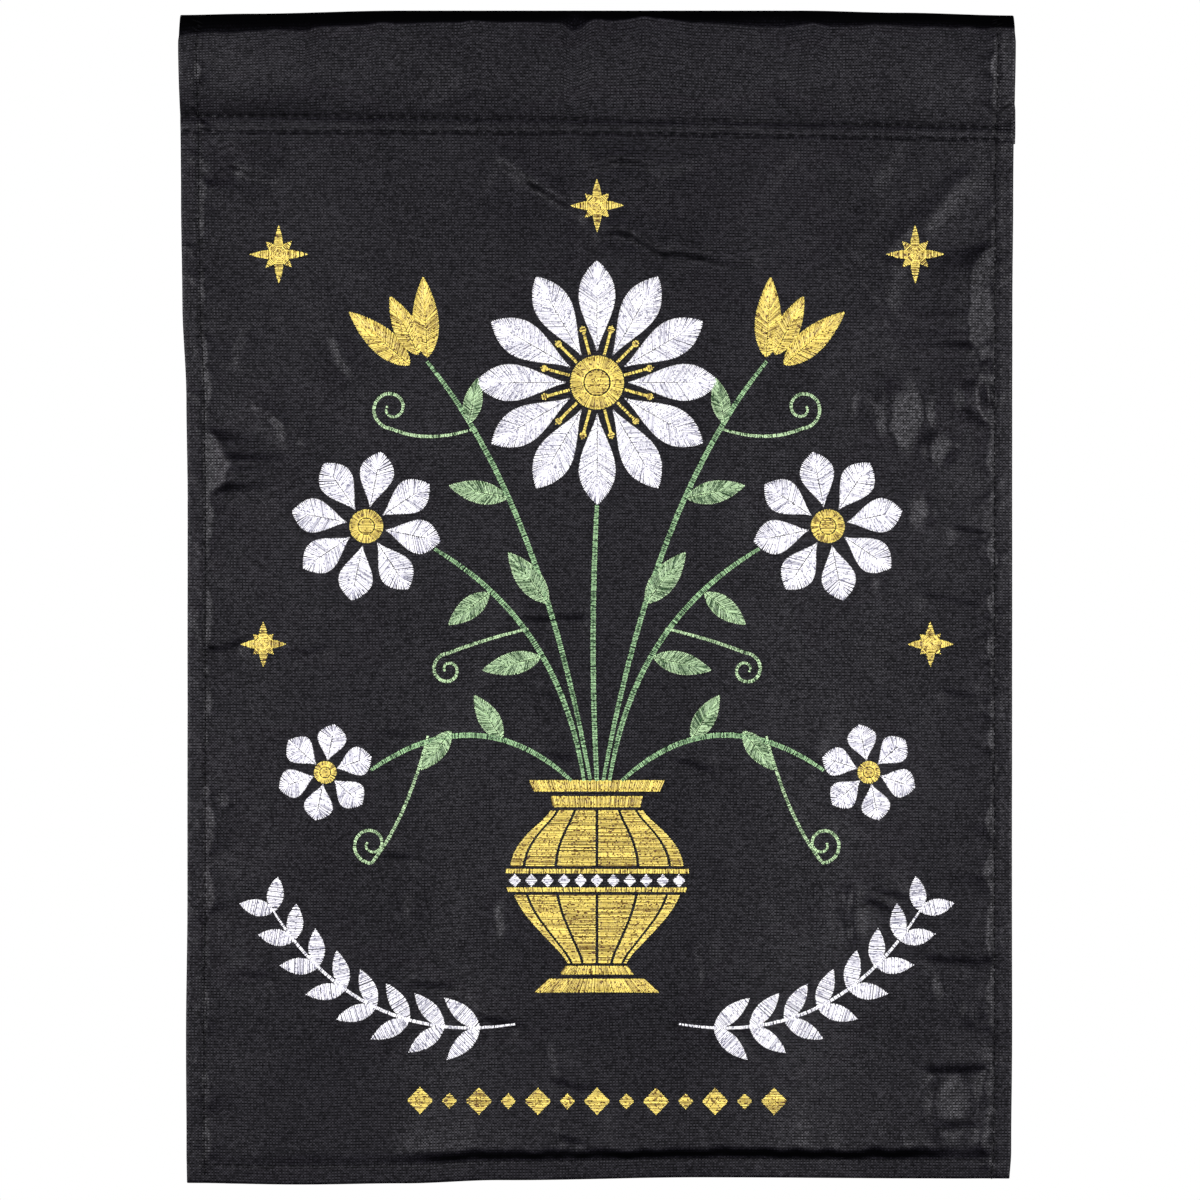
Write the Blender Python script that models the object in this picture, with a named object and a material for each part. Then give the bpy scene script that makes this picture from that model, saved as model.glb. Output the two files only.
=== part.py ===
"""Small embroidered flag that hangs from a pole through its sleeve.

Two sewn pieces are modelled. The flag panel is one sheet with its side and bottom hems
turned to the back. The pole sleeve is the flattened tube above it, closed below by a
band with two rows of stitches. X runs across the flag, -Y is its front and Z is up.
The origin is the middle of the top edge, from which the flag hangs.
"""
import math

import bmesh
import bpy

MM = 0.001

# Driving dimensions
FLAG_HEIGHT = 457.4 * MM
FLAG_WIDTH = 325.4 * MM
CLOTH = 1.0 * MM
HEM_WIDTH = 6.8 * MM
BOTTOM_HEM = 7.2 * MM
HEM_EXTRA = 0.8 * MM
HEM_STEP = 0.8 * MM
PIECE_GAP = 0.3 * MM
BAND_MARGIN = 1.0 * MM

# The panel lies in the plane of the sleeve's front layer.
PANEL_PLANE = -CLOTH / 2

# Grid of the panel and stations of the sleeve
PANEL_COLUMNS = 32
PANEL_ROWS = 42
SLEEVE_STATIONS = 24
SLEEVE_SIDE_POINTS = 7
SLEEVE_ROLL_POINTS = 8

# Side edges: how far each drop below the top draws the two edges in from the full width
SIDE_EDGES = (
    # drop, left edge drawn in, right edge drawn in
    (0 * MM, 0.0 * MM, 0.0 * MM),
    (74 * MM, 0.7 * MM, 0.5 * MM),
    (113 * MM, 1.2 * MM, 0.8 * MM),
    (152 * MM, 2.8 * MM, 0.9 * MM),
    (190 * MM, 3.3 * MM, 0.9 * MM),
    (347 * MM, 3.2 * MM, 1.0 * MM),
    (400 * MM, 2.7 * MM, 0.9 * MM),
    (444 * MM, 2.9 * MM, 1.3 * MM),
    (458 * MM, 3.1 * MM, 2.1 * MM),
)

# Top and bottom edges: how far each falls short of the flag's full height
TOP_EDGE = (
    # x, below the top
    (-163 * MM, 1.7 * MM),
    (-135 * MM, 1.2 * MM),
    (-77 * MM, 0.0 * MM),
    (80 * MM, 0.0 * MM),
    (118 * MM, 0.8 * MM),
    (163 * MM, 1.9 * MM),
)
BOTTOM_EDGE = (
    # x, above the bottom
    (-163 * MM, 0.7 * MM),
    (-115 * MM, 0.0 * MM),
    (-77 * MM, 0.3 * MM),
    (-38 * MM, 1.8 * MM),
    (40 * MM, 3.0 * MM),
    (118 * MM, 2.2 * MM),
    (163 * MM, 2.3 * MM),
)

# The two seam rows across the sleeve, each a parabola that dips to the right
UPPER_SEAM = (-42.4 * MM, -2.35 * MM, -0.85 * MM)
LOWER_SEAM = (-47.55 * MM, -1.65 * MM, -1.1 * MM)

# Depth of the channel inside the sleeve, greatest at the ends
CHANNEL_DEPTH = (
    # x, depth
    (-163 * MM, 10.0 * MM),
    (-60 * MM, 9.0 * MM),
    (20 * MM, 7.0 * MM),
    (163 * MM, 8.5 * MM),
)
CHANNEL_FULLNESS = 2.2

# Long waves of the hanging cloth, which grow from the seam to the bottom edge
LONG_WAVES = (
    # height at the bottom edge, waves across the width, phase in turns
    (1.9 * MM, 1.6, 0.15),
    (0.7 * MM, 3.7, 0.60),
)

# Soft folds of the panel, each a straight ridge (towards the front) or trough
FOLDS = (
    # from x, from z, to x, to z, half width, height (below zero for a trough)
    (-38 * MM, -66 * MM, 0 * MM, -84 * MM, 7 * MM, -1.1 * MM),
    (0 * MM, -84 * MM, 56 * MM, -99 * MM, 7 * MM, -1.3 * MM),
    (0 * MM, -58 * MM, 22 * MM, -62 * MM, 8 * MM, 0.9 * MM),
    (-152 * MM, -90 * MM, -152 * MM, -250 * MM, 6 * MM, 1.0 * MM),
    (-152 * MM, -280 * MM, -151 * MM, -430 * MM, 6 * MM, 0.9 * MM),
    (151 * MM, -88 * MM, 150 * MM, -160 * MM, 7 * MM, 1.7 * MM),
    (152 * MM, -185 * MM, 151 * MM, -330 * MM, 6 * MM, 1.0 * MM),
    (112 * MM, -140 * MM, 126 * MM, -200 * MM, 9 * MM, 1.2 * MM),
    (96 * MM, -338 * MM, 99 * MM, -366 * MM, 7 * MM, 1.0 * MM),
    (118 * MM, -356 * MM, 144 * MM, -370 * MM, 7 * MM, -1.0 * MM),
    (-112 * MM, -243 * MM, -100 * MM, -250 * MM, 9 * MM, -0.9 * MM),
    (-16 * MM, -412 * MM, 2 * MM, -434 * MM, 8 * MM, -1.0 * MM),
    (140 * MM, -404 * MM, 150 * MM, -446 * MM, 8 * MM, 1.6 * MM),
    (-80 * MM, -445 * MM, 150 * MM, -443 * MM, 5 * MM, 2.4 * MM),
)


def table_value(table, place, column=1):
    """Return a table's column at a place, on straight lines eased at their ends."""
    for low, high in zip(table, table[1:]):
        if place <= high[0]:
            share = max(0.0, (place - low[0]) / (high[0] - low[0]))
            eased = share * share * (3 - 2 * share)
            return low[column] + (high[column] - low[column]) * eased
    return table[-1][column]


def seam_height(seam, x):
    """Return the height of a seam row at x."""
    middle, slope, bend = seam
    across = 2 * x / FLAG_WIDTH
    return middle + slope * across + bend * across * across


def top_edge(x):
    """Return the height of the flag's top edge at x."""
    return -table_value(TOP_EDGE, x)


def bottom_edge(x):
    """Return the height of the flag's bottom edge at x."""
    return -FLAG_HEIGHT + table_value(BOTTOM_EDGE, x)


def band_bottom(x):
    """Return the height at which the sleeve's stitched band ends."""
    return seam_height(LOWER_SEAM, x) - BAND_MARGIN


def side_edge(z, side):
    """Return x of the left (-1) or right (+1) edge at a height."""
    drawn_in = table_value(SIDE_EDGES, -z, 1 if side < 0 else 2)
    return side * (FLAG_WIDTH / 2 - drawn_in)


def distance_to_line(x, z, start, end):
    """Return the distance from a point of the flag to a straight fold line."""
    along_x, along_z = end[0] - start[0], end[1] - start[1]
    length_squared = along_x ** 2 + along_z ** 2
    share = ((x - start[0]) * along_x + (z - start[1]) * along_z) / length_squared
    share = min(1.0, max(0.0, share))
    return math.hypot(x - start[0] - share * along_x, z - start[1] - share * along_z)


def panel_relief(x, z):
    """Return how far the panel stands forward of its plane, from its waves and folds."""
    fall = min(1.0, max(0.0, (band_bottom(x) - z) / (FLAG_HEIGHT + band_bottom(x))))
    relief = 0.0
    for height, waves, phase in LONG_WAVES:
        turns = waves * x / FLAG_WIDTH + phase
        relief += height * fall * math.sin(2 * math.pi * turns)
    for from_x, from_z, to_x, to_z, half_width, height in FOLDS:
        away = distance_to_line(x, z, (from_x, from_z), (to_x, to_z))
        relief += height * math.exp(-(away / half_width) ** 2)
    return relief


def spread(start, end, steps):
    """Return evenly spaced shares from start to end, both included."""
    return [start + (end - start) * step / steps for step in range(steps + 1)]


def panel_columns():
    """Return the shares of the width at which the panel has its columns."""
    hem = HEM_WIDTH / FLAG_WIDTH
    step = HEM_STEP / FLAG_WIDTH
    field = spread(hem + step, 1 - hem - step, PANEL_COLUMNS)
    return [0.0, hem / 2, hem] + field + [1 - hem, 1 - hem / 2, 1.0]


def panel_rows():
    """Return the shares of the panel's height, from the seam down, of its rows."""
    height = FLAG_HEIGHT + band_bottom(0)
    hem = BOTTOM_HEM / height
    step = HEM_STEP / height
    return spread(0.0, 1 - hem - step, PANEL_ROWS) + [1 - hem, 1 - hem / 2, 1.0]


def in_hem(column, row, columns, rows):
    """Tell whether a grid point lies on a turned hem."""
    return column <= 2 or column >= len(columns) - 3 or row >= len(rows) - 3


def grid_quads(first, wide, tall, flip):
    """Return the faces of a grid of points that starts at an index."""
    faces = []
    for row in range(tall - 1):
        for column in range(wide - 1):
            corner = first + row * wide + column
            face = (corner, corner + 1, corner + wide + 1, corner + wide)
            faces.append(face[::-1] if flip else face)
    return faces


def rim_quads(wide, tall):
    """Return the faces that join the rims of a front and a back grid."""
    back = wide * tall
    rim = list(range(wide))
    rim += [row * wide + wide - 1 for row in range(1, tall)]
    rim += [(tall - 1) * wide + column for column in range(wide - 2, -1, -1)]
    rim += [row * wide for row in range(tall - 2, 0, -1)]
    following = rim[1:] + rim[:1]
    return [(a, b, b + back, a + back) for a, b in zip(rim, following)]


def panel_point(across, down):
    """Return x, z and the relief of the panel at shares of its width and height."""
    x = (across - 0.5) * FLAG_WIDTH
    top = band_bottom(x) - PIECE_GAP
    z = top + (bottom_edge(x) - top) * down
    left, right = side_edge(z, -1), side_edge(z, 1)
    x = left + (right - left) * across
    return x, z, panel_relief(x, z)


def build_panel():
    """Return points and faces of the panel, its hems thicker towards the back."""
    columns, rows = panel_columns(), panel_rows()
    front, back = [], []
    for row, down in enumerate(rows):
        for column, across in enumerate(columns):
            x, z, relief = panel_point(across, down)
            middle = PANEL_PLANE - relief
            extra = HEM_EXTRA if in_hem(column, row, columns, rows) else 0.0
            front.append((x, middle - CLOTH / 2, z))
            back.append((x, middle + CLOTH / 2 + extra, z))
    wide, tall = len(columns), len(rows)
    faces = grid_quads(0, wide, tall, False)
    faces += grid_quads(wide * tall, wide, tall, True)
    faces += rim_quads(wide, tall)
    return front + back, faces


def sleeve_section(x):
    """Return the outer and the inner outline of the sleeve at x, as (y, z) points.

    Both run up the front, over the roll at the top and down the back. The inner one
    starts and ends near the upper seam, the outer one goes on around the band.
    """
    radius = table_value(CHANNEL_DEPTH, x) / 2
    seam = seam_height(UPPER_SEAM, x)
    roll_centre = top_edge(x) - CLOTH - radius
    front_inner, front_outer = [], []
    for share in spread(0.0, 1.0, SLEEVE_SIDE_POINTS)[1:-1]:
        half = radius * (1 - (1 - share) ** CHANNEL_FULLNESS)
        z = seam + (roll_centre - seam) * share
        front_inner.append((-half, z))
        front_outer.append((-half - CLOTH, z))
    roll_inner, roll_outer = [], []
    for angle in spread(0.0, math.pi, SLEEVE_ROLL_POINTS):
        y, z = -math.cos(angle), math.sin(angle)
        roll_inner.append((radius * y, roll_centre + radius * z))
        outer = radius + CLOTH
        roll_outer.append((outer * y, roll_centre + outer * z))
    back_inner = [(-y, z) for y, z in reversed(front_inner)]
    back_outer = [(-y, z) for y, z in reversed(front_outer)]
    bottom = band_bottom(x)
    band_front = [(-CLOTH, bottom), (-CLOTH, seam)]
    band_back = [(CLOTH, seam), (CLOTH, bottom)]
    outer = band_front + front_outer + roll_outer + back_outer + band_back
    inner = [(0.0, seam)] + front_inner + roll_inner + back_inner
    return outer, inner


def tube_quads(first, size, stations, flip):
    """Return the faces of a loop of points swept through all stations."""
    faces = []
    for station in range(stations - 1):
        for point in range(size):
            a = first + station * size + point
            b = first + station * size + (point + 1) % size
            face = (a, b, b + size, a + size)
            faces.append(face[::-1] if flip else face)
    return faces


def end_faces(outer_first, outer_size, inner_first, inner_size, flip):
    """Return the faces that close the wall at one end of the sleeve."""
    inner = [inner_first + point for point in range(inner_size)]
    outer = [outer_first + point for point in range(outer_size)]
    faces = [(outer[0], outer[1], inner[0], outer[-2], outer[-1])]
    inner_loop = inner + inner[:1]
    for a, b, c, d in zip(outer[1:-2], outer[2:-1], inner_loop[1:], inner_loop):
        faces.append((a, b, c, d))
    return [face[::-1] if flip else face for face in faces]


def build_sleeve():
    """Return points and faces of the sleeve, open at both ends."""
    places = [(share - 0.5) * FLAG_WIDTH for share in spread(0.0, 1.0, SLEEVE_STATIONS)]
    outer_points, inner_points = [], []
    for x in places:
        outer, inner = sleeve_section(x)
        outer_points += [(x, y, z) for y, z in outer]
        inner_points += [(x, y, z) for y, z in inner]
    stations = len(places)
    outer_size, inner_size = len(outer), len(inner)
    inner_start = len(outer_points)
    last_outer = (stations - 1) * outer_size
    last_inner = inner_start + (stations - 1) * inner_size
    faces = tube_quads(0, outer_size, stations, True)
    faces += tube_quads(inner_start, inner_size, stations, False)
    faces += end_faces(0, outer_size, inner_start, inner_size, False)
    faces += end_faces(last_outer, outer_size, last_inner, inner_size, True)
    return outer_points + inner_points, faces


def cloth_material(name, color):
    """Return the material of the charcoal polyester cloth."""
    material = bpy.data.materials.new(name)
    material.use_nodes = True
    shader = material.node_tree.nodes["Principled BSDF"]
    shader.inputs["Base Color"].default_value = (*color, 1.0)
    shader.inputs["Roughness"].default_value = 0.6
    shader.inputs["Metallic"].default_value = 0.0
    return material


def add_piece(name, points, faces, material):
    """Add one sewn piece as a closed mesh with its faces pointing out."""
    mesh = bpy.data.meshes.new(name)
    mesh.from_pydata(points, [], faces)
    shape = bmesh.new()
    shape.from_mesh(mesh)
    bmesh.ops.triangulate(shape, faces=shape.faces)
    bmesh.ops.recalc_face_normals(shape, faces=shape.faces)
    shape.to_mesh(mesh)
    shape.free()
    mesh.materials.append(material)
    piece = bpy.data.objects.new(name, mesh)
    bpy.context.scene.collection.objects.link(piece)
    return piece


def main():
    """Clear the scene and build both pieces of the flag."""
    for thing in list(bpy.data.objects):
        bpy.data.objects.remove(thing, do_unlink=True)
    panel_cloth = cloth_material("panel_cloth", (0.022, 0.022, 0.026))
    sleeve_cloth = cloth_material("sleeve_cloth", (0.020, 0.020, 0.024))
    add_piece("flag_panel", *build_panel(), panel_cloth)
    add_piece("pole_sleeve", *build_sleeve(), sleeve_cloth)


main()
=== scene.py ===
"""Looks of a small embroidered flag that hangs from a pole through its sleeve.

The cloth is two sheets that meet in the sleeve's lower seam: the panel with its turned
hems, and the sleeve that goes over the pole. Sewing stitches hold the hems and the
sleeve, and a bouquet in satin stitch fills the front. X runs across the flag, -Y is its
front and Z is up. The origin is the middle of the top edge.
"""

from __future__ import annotations

import logging
import math
from dataclasses import dataclass, field
from enum import Enum
from functools import cache
from typing import Any, Callable, Iterable, Sequence

import bpy
import numpy as np
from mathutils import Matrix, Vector

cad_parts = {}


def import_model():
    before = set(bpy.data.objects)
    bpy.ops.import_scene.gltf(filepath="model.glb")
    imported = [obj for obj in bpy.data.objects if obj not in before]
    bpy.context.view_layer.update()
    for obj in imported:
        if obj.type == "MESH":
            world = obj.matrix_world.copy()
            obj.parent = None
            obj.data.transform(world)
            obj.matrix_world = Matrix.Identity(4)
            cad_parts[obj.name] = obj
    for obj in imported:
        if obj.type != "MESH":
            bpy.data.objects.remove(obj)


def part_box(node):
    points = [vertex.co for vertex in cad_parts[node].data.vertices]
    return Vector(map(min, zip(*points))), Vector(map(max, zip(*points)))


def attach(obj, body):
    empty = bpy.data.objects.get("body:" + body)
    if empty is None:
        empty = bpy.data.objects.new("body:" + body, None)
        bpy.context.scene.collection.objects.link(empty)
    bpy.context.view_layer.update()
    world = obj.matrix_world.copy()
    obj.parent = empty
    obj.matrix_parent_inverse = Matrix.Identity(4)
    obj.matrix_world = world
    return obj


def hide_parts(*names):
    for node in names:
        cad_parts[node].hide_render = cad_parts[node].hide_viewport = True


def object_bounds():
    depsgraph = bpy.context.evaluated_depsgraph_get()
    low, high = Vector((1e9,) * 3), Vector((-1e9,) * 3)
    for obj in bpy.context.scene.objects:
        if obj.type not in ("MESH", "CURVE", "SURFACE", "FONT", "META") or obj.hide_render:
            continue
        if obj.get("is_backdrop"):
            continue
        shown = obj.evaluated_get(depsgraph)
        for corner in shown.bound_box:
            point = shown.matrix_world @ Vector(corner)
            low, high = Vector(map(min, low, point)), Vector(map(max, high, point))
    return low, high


MM = 0.001
LOG = logging.getLogger("flag")
Array = np.ndarray
Colour = tuple[float, float, float]
Spot = tuple[float, float]
Node = bpy.types.Node
Piece = bpy.types.Object
Material = bpy.types.Material


# ---- shader and node maths


def maths_method(operation: str) -> Callable[..., "Signal"]:
    """Return the method that stands for one operation of the Math node.

    Args:
        operation: The operation.

    Returns:
        The method.
    """

    def apply(self: "Signal", *others: Any) -> "Signal":
        """Return the operation's result for this signal and the others."""
        return self.maths(operation, *others)

    return apply


class Signal:
    """A number socket with Python operators, so that shader maths reads as a formula."""

    def __init__(self, book: "NodeBook", socket: bpy.types.NodeSocket) -> None:
        """Wrap a socket of the book's tree."""
        self.book = book
        self.socket = socket

    def maths(self, operation: str, *others: Any) -> "Signal":
        """Add a Math node that takes this socket first.

        Args:
            operation: The Math node's operation.
            others: Further numbers or signals.

        Returns:
            The node's result.
        """
        values = dict(enumerate((self, *others)))
        node = self.book.add("ShaderNodeMath", {"operation": operation}, values)
        return Signal(self.book, node.outputs[0])

    __add__ = __radd__ = maths_method("ADD")
    __sub__ = maths_method("SUBTRACT")
    __mul__ = __rmul__ = maths_method("MULTIPLY")
    __truediv__ = maths_method("DIVIDE")
    __pow__ = maths_method("POWER")
    sine = maths_method("SINE")
    floor = maths_method("FLOOR")
    size = maths_method("ABSOLUTE")

    def __rsub__(self, other: float) -> "Signal":
        """Return other - self."""
        return (self * -1.0) + other

    def apart(self, other: Any) -> "Signal":
        """Return a fixed random number for each pair of whole numbers.

        Args:
            other: The second number of the pair.

        Returns:
            The random number, from 0 to 1.
        """
        place = self.book.vector(self, other)
        node = self.book.add("ShaderNodeTexWhiteNoise", {"noise_dimensions": "2D"}, {0: place})
        return Signal(self.book, node.outputs["Value"])

    def held(self) -> "Signal":
        """Return the value held between 0 and 1."""
        node = self.book.add("ShaderNodeClamp", {}, {"Value": self})
        return Signal(self.book, node.outputs[0])


class NodeBook:
    """Adds nodes to one tree, each by its type, its settings and its inputs."""

    def __init__(self, tree: bpy.types.NodeTree) -> None:
        """Hold the tree."""
        self.tree = tree

    def add(
        self, kind: str, settings: dict[str, Any] | None = None, inputs: dict[Any, Any] | None = None
    ) -> Node:
        """Add one node.

        Args:
            kind: The node's type.
            settings: Properties that are set before the inputs.
            inputs: Values, sockets or signals by the input's name or number.

        Returns:
            The new node.
        """
        node = self.tree.nodes.new(kind)
        for name, value in (settings or {}).items():
            setattr(node, name, value)
        self.feed(node, inputs or {})
        return node

    def feed(self, node: Node, inputs: dict[Any, Any]) -> None:
        """Link or set a node's input sockets.

        Args:
            node: The node.
            inputs: Values, sockets or signals by the input's name or number.
        """
        for key, value in inputs.items():
            if isinstance(value, Signal):
                value = value.socket
            if isinstance(value, bpy.types.NodeSocket):
                self.tree.links.new(value, node.inputs[key])
            else:
                node.inputs[key].default_value = value

    def noise(self, place: Any, scale: float, detail: float = 2.0) -> Signal:
        """Return a noise texture's value at a place."""
        inputs = {"Vector": place, "Scale": scale, "Detail": detail}
        return Signal(self, self.add("ShaderNodeTexNoise", {}, inputs).outputs[0])

    def blend(self, share: Signal, low: Sequence[float], high: Sequence[float]) -> Any:
        """Return the colour socket that goes from low at share 0 to high at share 1."""
        colours = {"Factor": share, 6: (*low, 1.0), 7: (*high, 1.0)}
        return self.add("ShaderNodeMix", {"data_type": "RGBA"}, colours).outputs[2]

    def vector(self, x: Any, y: Any, z: Any = 0.0) -> Any:
        """Return the vector socket made from three numbers."""
        return self.add("ShaderNodeCombineXYZ", {}, {"X": x, "Y": y, "Z": z}).outputs[0]

    def attribute(self, name: str) -> Signal:
        """Return the value of one of the mesh's own attributes."""
        node = self.add("ShaderNodeAttribute", {"attribute_name": name})
        return Signal(self, node.outputs["Fac"])

    def bump(self, height: Signal, distance: float, strength: float, normal: Any = None) -> Any:
        """Return the normal socket of a bump.

        Args:
            height: The height, from 0 to 1.
            distance: What a height of 1 stands for, in metres.
            strength: How much of the bump shows.
            normal: The normal socket of a coarser bump below this one.

        Returns:
            The socket.
        """
        inputs = {"Strength": strength, "Distance": distance, "Height": height}
        if normal is not None:
            inputs["Normal"] = normal
        return self.add("ShaderNodeBump", {}, inputs).outputs[0]


def new_material(name: str) -> tuple[Material, NodeBook, Node]:
    """Return a new material, the book of its tree and its Principled shader.

    Args:
        name: The material's name.

    Returns:
        The material, its book and its shader.
    """
    material = bpy.data.materials.new(name)
    material.use_nodes = True
    return material, NodeBook(material.node_tree), material.node_tree.nodes["Principled BSDF"]


def new_object(name: str, data: Any) -> Piece:
    """Return a new object of the scene with its data."""
    piece = bpy.data.objects.new(name, data)
    bpy.context.scene.collection.objects.link(piece)
    return piece


@dataclass(frozen=True)
class ClothFinish:
    """Plain-woven polyester: its thread spacing, tones and gloss."""

    name: str
    warp_pitch: float = 0.61 * MM
    weft_pitch: float = 0.57 * MM
    dark: Colour = (0.0004, 0.0004, 0.0006)
    light: Colour = (0.0085, 0.0076, 0.0116)
    roughness: float = 0.6
    glaze: float = 0.44
    glaze_ior: float = 1.37
    gloss: float = 0.03
    relief: float = 0.035 * MM
    # how far the threads stray from straight lines: over short lengths, over long ones
    wander: float = 0.36 * MM
    sway: float = 0.9 * MM
    # tone: spread between crossings, spread between areas, least tone, all told
    spread: float = 0.8
    clouds: float = 0.3
    least: float = 0.05
    brightness: float = 1.42
    # gathers beside the stitching: length, width, height
    gather: float = 1.6 * MM
    gather_width: float = 2.3 * MM
    gather_rise: float = 1.3 * MM

    def material(self) -> Material:
        """Build the woven material on the cloth's own coordinates.

        Returns:
            The material.
        """
        material, book, shader = new_material(self.name)
        flat = book.add("ShaderNodeUVMap", {"uv_map": CLOTH_UV}).outputs[0]
        split = book.add("ShaderNodeSeparateXYZ", {}, {0: flat})
        across, along = (Signal(book, split.outputs[axis]) for axis in (0, 1))
        drift = (book.noise(flat, 240.0, 1.0) - 0.5) * self.wander
        sway = (book.noise(flat, 30.0, 1.0) - 0.5) * self.sway
        warp = (across + drift) / self.warp_pitch
        weft = (along + drift + sway) / self.weft_pitch
        warp_row, weft_row = warp.floor(), weft.floor()
        beside, above = warp - warp_row - 0.5, weft - weft_row - 0.5
        stray = warp_row.apart(weft_row)
        broken = book.noise(book.vector(across * 230.0, weft_row * 0.6), 1.0, 1.0)
        # gap darkens the base colour along the grooves between weft rows, and shown darkens it in the
        # hollows where no thread lies on top: painted shade in the weave; stray and cloud are the
        # cloth's own random tone
        gap = ((weft * math.pi).sine() * 0.5 + 0.5) ** 1.6 * (broken * 2.6 - 0.45).held()
        over = ((warp * math.pi).sine() * (weft * math.pi).sine() * 2.0 + 0.5).held()
        shown = over * 0.7 + 0.3
        cloud = book.noise(book.vector(across, along, 7.0), 22.0, 3.0)
        tone = stray * self.spread + cloud * self.clouds + self.least
        # painted shade: the tone, and with it the base colour and the coat weight, falls to nothing
        # where the cloth faces up or down, as on the sleeve's roll over the pole
        tone = tone * (1.0 - book.attribute(UPTURN_SHADE))
        share = (shown * tone * (1.0 - gap * 0.9) * self.brightness).held()
        crown = 1.0 - (beside * 2.0).size() ** 3.0
        round_over = 1.0 - (above * 2.0).size() ** 2.0
        tilt = (stray - 0.5) * beside * 0.9
        height = crown * shown + round_over * 0.3 + tilt - gap * 1.4
        values = {
            "Base Color": book.blend(share, self.dark, self.light),
            "Coat Weight": share,
            "Normal": book.bump(height, self.relief, 1.0, self.gathers(book, along)),
            "Roughness": self.roughness,
            "Coat Roughness": self.glaze,
            "Coat IOR": self.glaze_ior,
            "IOR": 1.5,
            "Specular IOR Level": self.gloss,
        }
        book.feed(shader, values)
        return material

    def gathers(self, book: NodeBook, along: Signal) -> Any:
        """Return the normal of the small gathers beside the stitching of the side hems.

        Args:
            book: The material's nodes.
            along: Distance down the cloth.

        Returns:
            The normal socket.
        """
        reach = book.attribute(HEM)
        place = book.vector(reach.maths("SIGN") * 3.0, (along + reach * 0.4) / self.gather, 5.0)
        bead = ((book.noise(place, 1.0, 1.0) - 0.42) * 6.0).held()
        ridge = (1.0 - reach.size() / self.gather_width).held() * bead
        return book.bump(ridge, self.gather_rise, 1.0)


@dataclass(frozen=True)
class ThreadFinish:
    """Thread: its colour, with painted highlight where it turns to the light and painted shade in its
    depths, and its gloss.
    """

    name: str
    deep: Colour
    bright: Colour
    pearl: float
    fill: float
    roughness: float = 0.34
    twists: float = 1.1
    turn: float = 0.65 * MM
    relief: float = 0.03 * MM
    # share of the bright colour: from the stitch's random tone, from the twist as painted light and
    # shade on its plies, and painted highlight where it bends down at its ends
    by_tone: float = 0.66
    by_twist: float = 0.15
    by_end_highlight: float = 0.4

    def material(self) -> Material:
        """Build the twisted thread material on the stitches' own attributes.

        Returns:
            The material.
        """
        material, book, shader = new_material(self.name)
        names = ("along", "around", "shade", "reach")
        along, around, shade, reach = (book.attribute(name) for name in names)
        turns = along * reach * (self.twists / MM) + around
        # the twist's stripes drive the bump and the roughness, and in the base colour they are painted
        # light and shade on the plies
        twist = (turns * (2 * math.pi)).sine() * 0.5 + 0.5
        place = book.vector(along * reach / MM, shade * 61.0, around * 1.2)
        # painted shade: short dark ticks along the thread where needle splits would lie
        tick = ((book.noise(place, 1.0, 0.0) - 0.60) * 8.0).held()
        end = (0.5 - (along - 0.5).size()) * reach / self.turn
        # painted highlight: bright colour where the thread bends down into the cloth at its ends
        end_highlight = (1.6 - end * 1.6).held()
        share = shade * self.by_tone + twist * self.by_twist + end_highlight * self.by_end_highlight
        share = (share + self.fill - tick).held()
        values = {
            "Base Color": book.blend(share, self.deep, self.bright),
            "Roughness": (1.0 - twist) * 0.15 + self.roughness,
            "Normal": book.bump(twist, self.relief, 0.6),
            "IOR": self.pearl,
        }
        book.feed(shader, values)
        return material


class Thread(Enum):
    """The threads on the flag, each with its finish and the record's slot."""

    # slot, deep colour (painted shade), bright colour (painted highlight), pearl as IOR, fill
    WHITE = ("white_thread", (0.17, 0.17, 0.24), (1.00, 1.00, 1.00), 1.8, 0.21)
    GOLD = ("gold_thread", (0.080, 0.024, 0.0006), (1.00, 0.82, 0.185), 1.5, 0.13)
    LEAF = ("green_thread", (0.010, 0.05, 0.010), (0.64, 0.88, 0.50), 1.48, -0.09)
    STEM = ("green_thread", (0.006, 0.04, 0.010), (0.42, 0.69, 0.35), 1.48, -0.07)
    SEWING = ("sewing_thread", (0.0006, 0.0006, 0.0009), (0.0036, 0.0034, 0.0046), 1.2, 0.0)

    @property
    def slot(self) -> str:
        """The record's material slot."""
        return self.value[0]

    @cache
    def material(self) -> Material:
        """Return this thread's material, which is made only once."""
        return ThreadFinish(f"{self.name.lower()}_thread", *self.value[1:]).material()


# ---- the cloth's own form

CLOTH_UV = "cloth"
# name of the per-point share of painted shade where the cloth faces up or down
UPTURN_SHADE = "lean"
HEM = "hem"


def eased(share: Array) -> Array:
    """Return a share held to 0..1 and eased at both ends."""
    held = np.clip(share, 0.0, 1.0)
    return held * held * (3 - 2 * held)


def along_table(rows: Sequence[tuple[float, ...]], place: Array, column: int = 1) -> Array:
    """Return a table's column at places along its first column, eased between rows.

    Args:
        rows: The table, sorted by its first column.
        place: Where to read it.
        column: The column to read.

    Returns:
        The values.
    """
    place = np.asarray(place, float)
    value = np.full(place.shape, rows[0][column])
    for low, high in zip(rows, rows[1:]):
        step = eased((place - low[0]) / (high[0] - low[0]))
        value = value + (high[column] - low[column]) * step
    return value


def run_along(points: Array) -> Array:
    """Return how far along a polyline each of its points lies."""
    return np.concatenate([[0.0], np.cumsum(np.hypot(*np.diff(points, axis=0).T))])


def read_along(place: Array, reach: Array, points: Array) -> Array:
    """Return the points of a polyline at places along it."""
    return np.stack([np.interp(place, reach, points[:, k]) for k in (0, 1)], axis=1)


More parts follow.
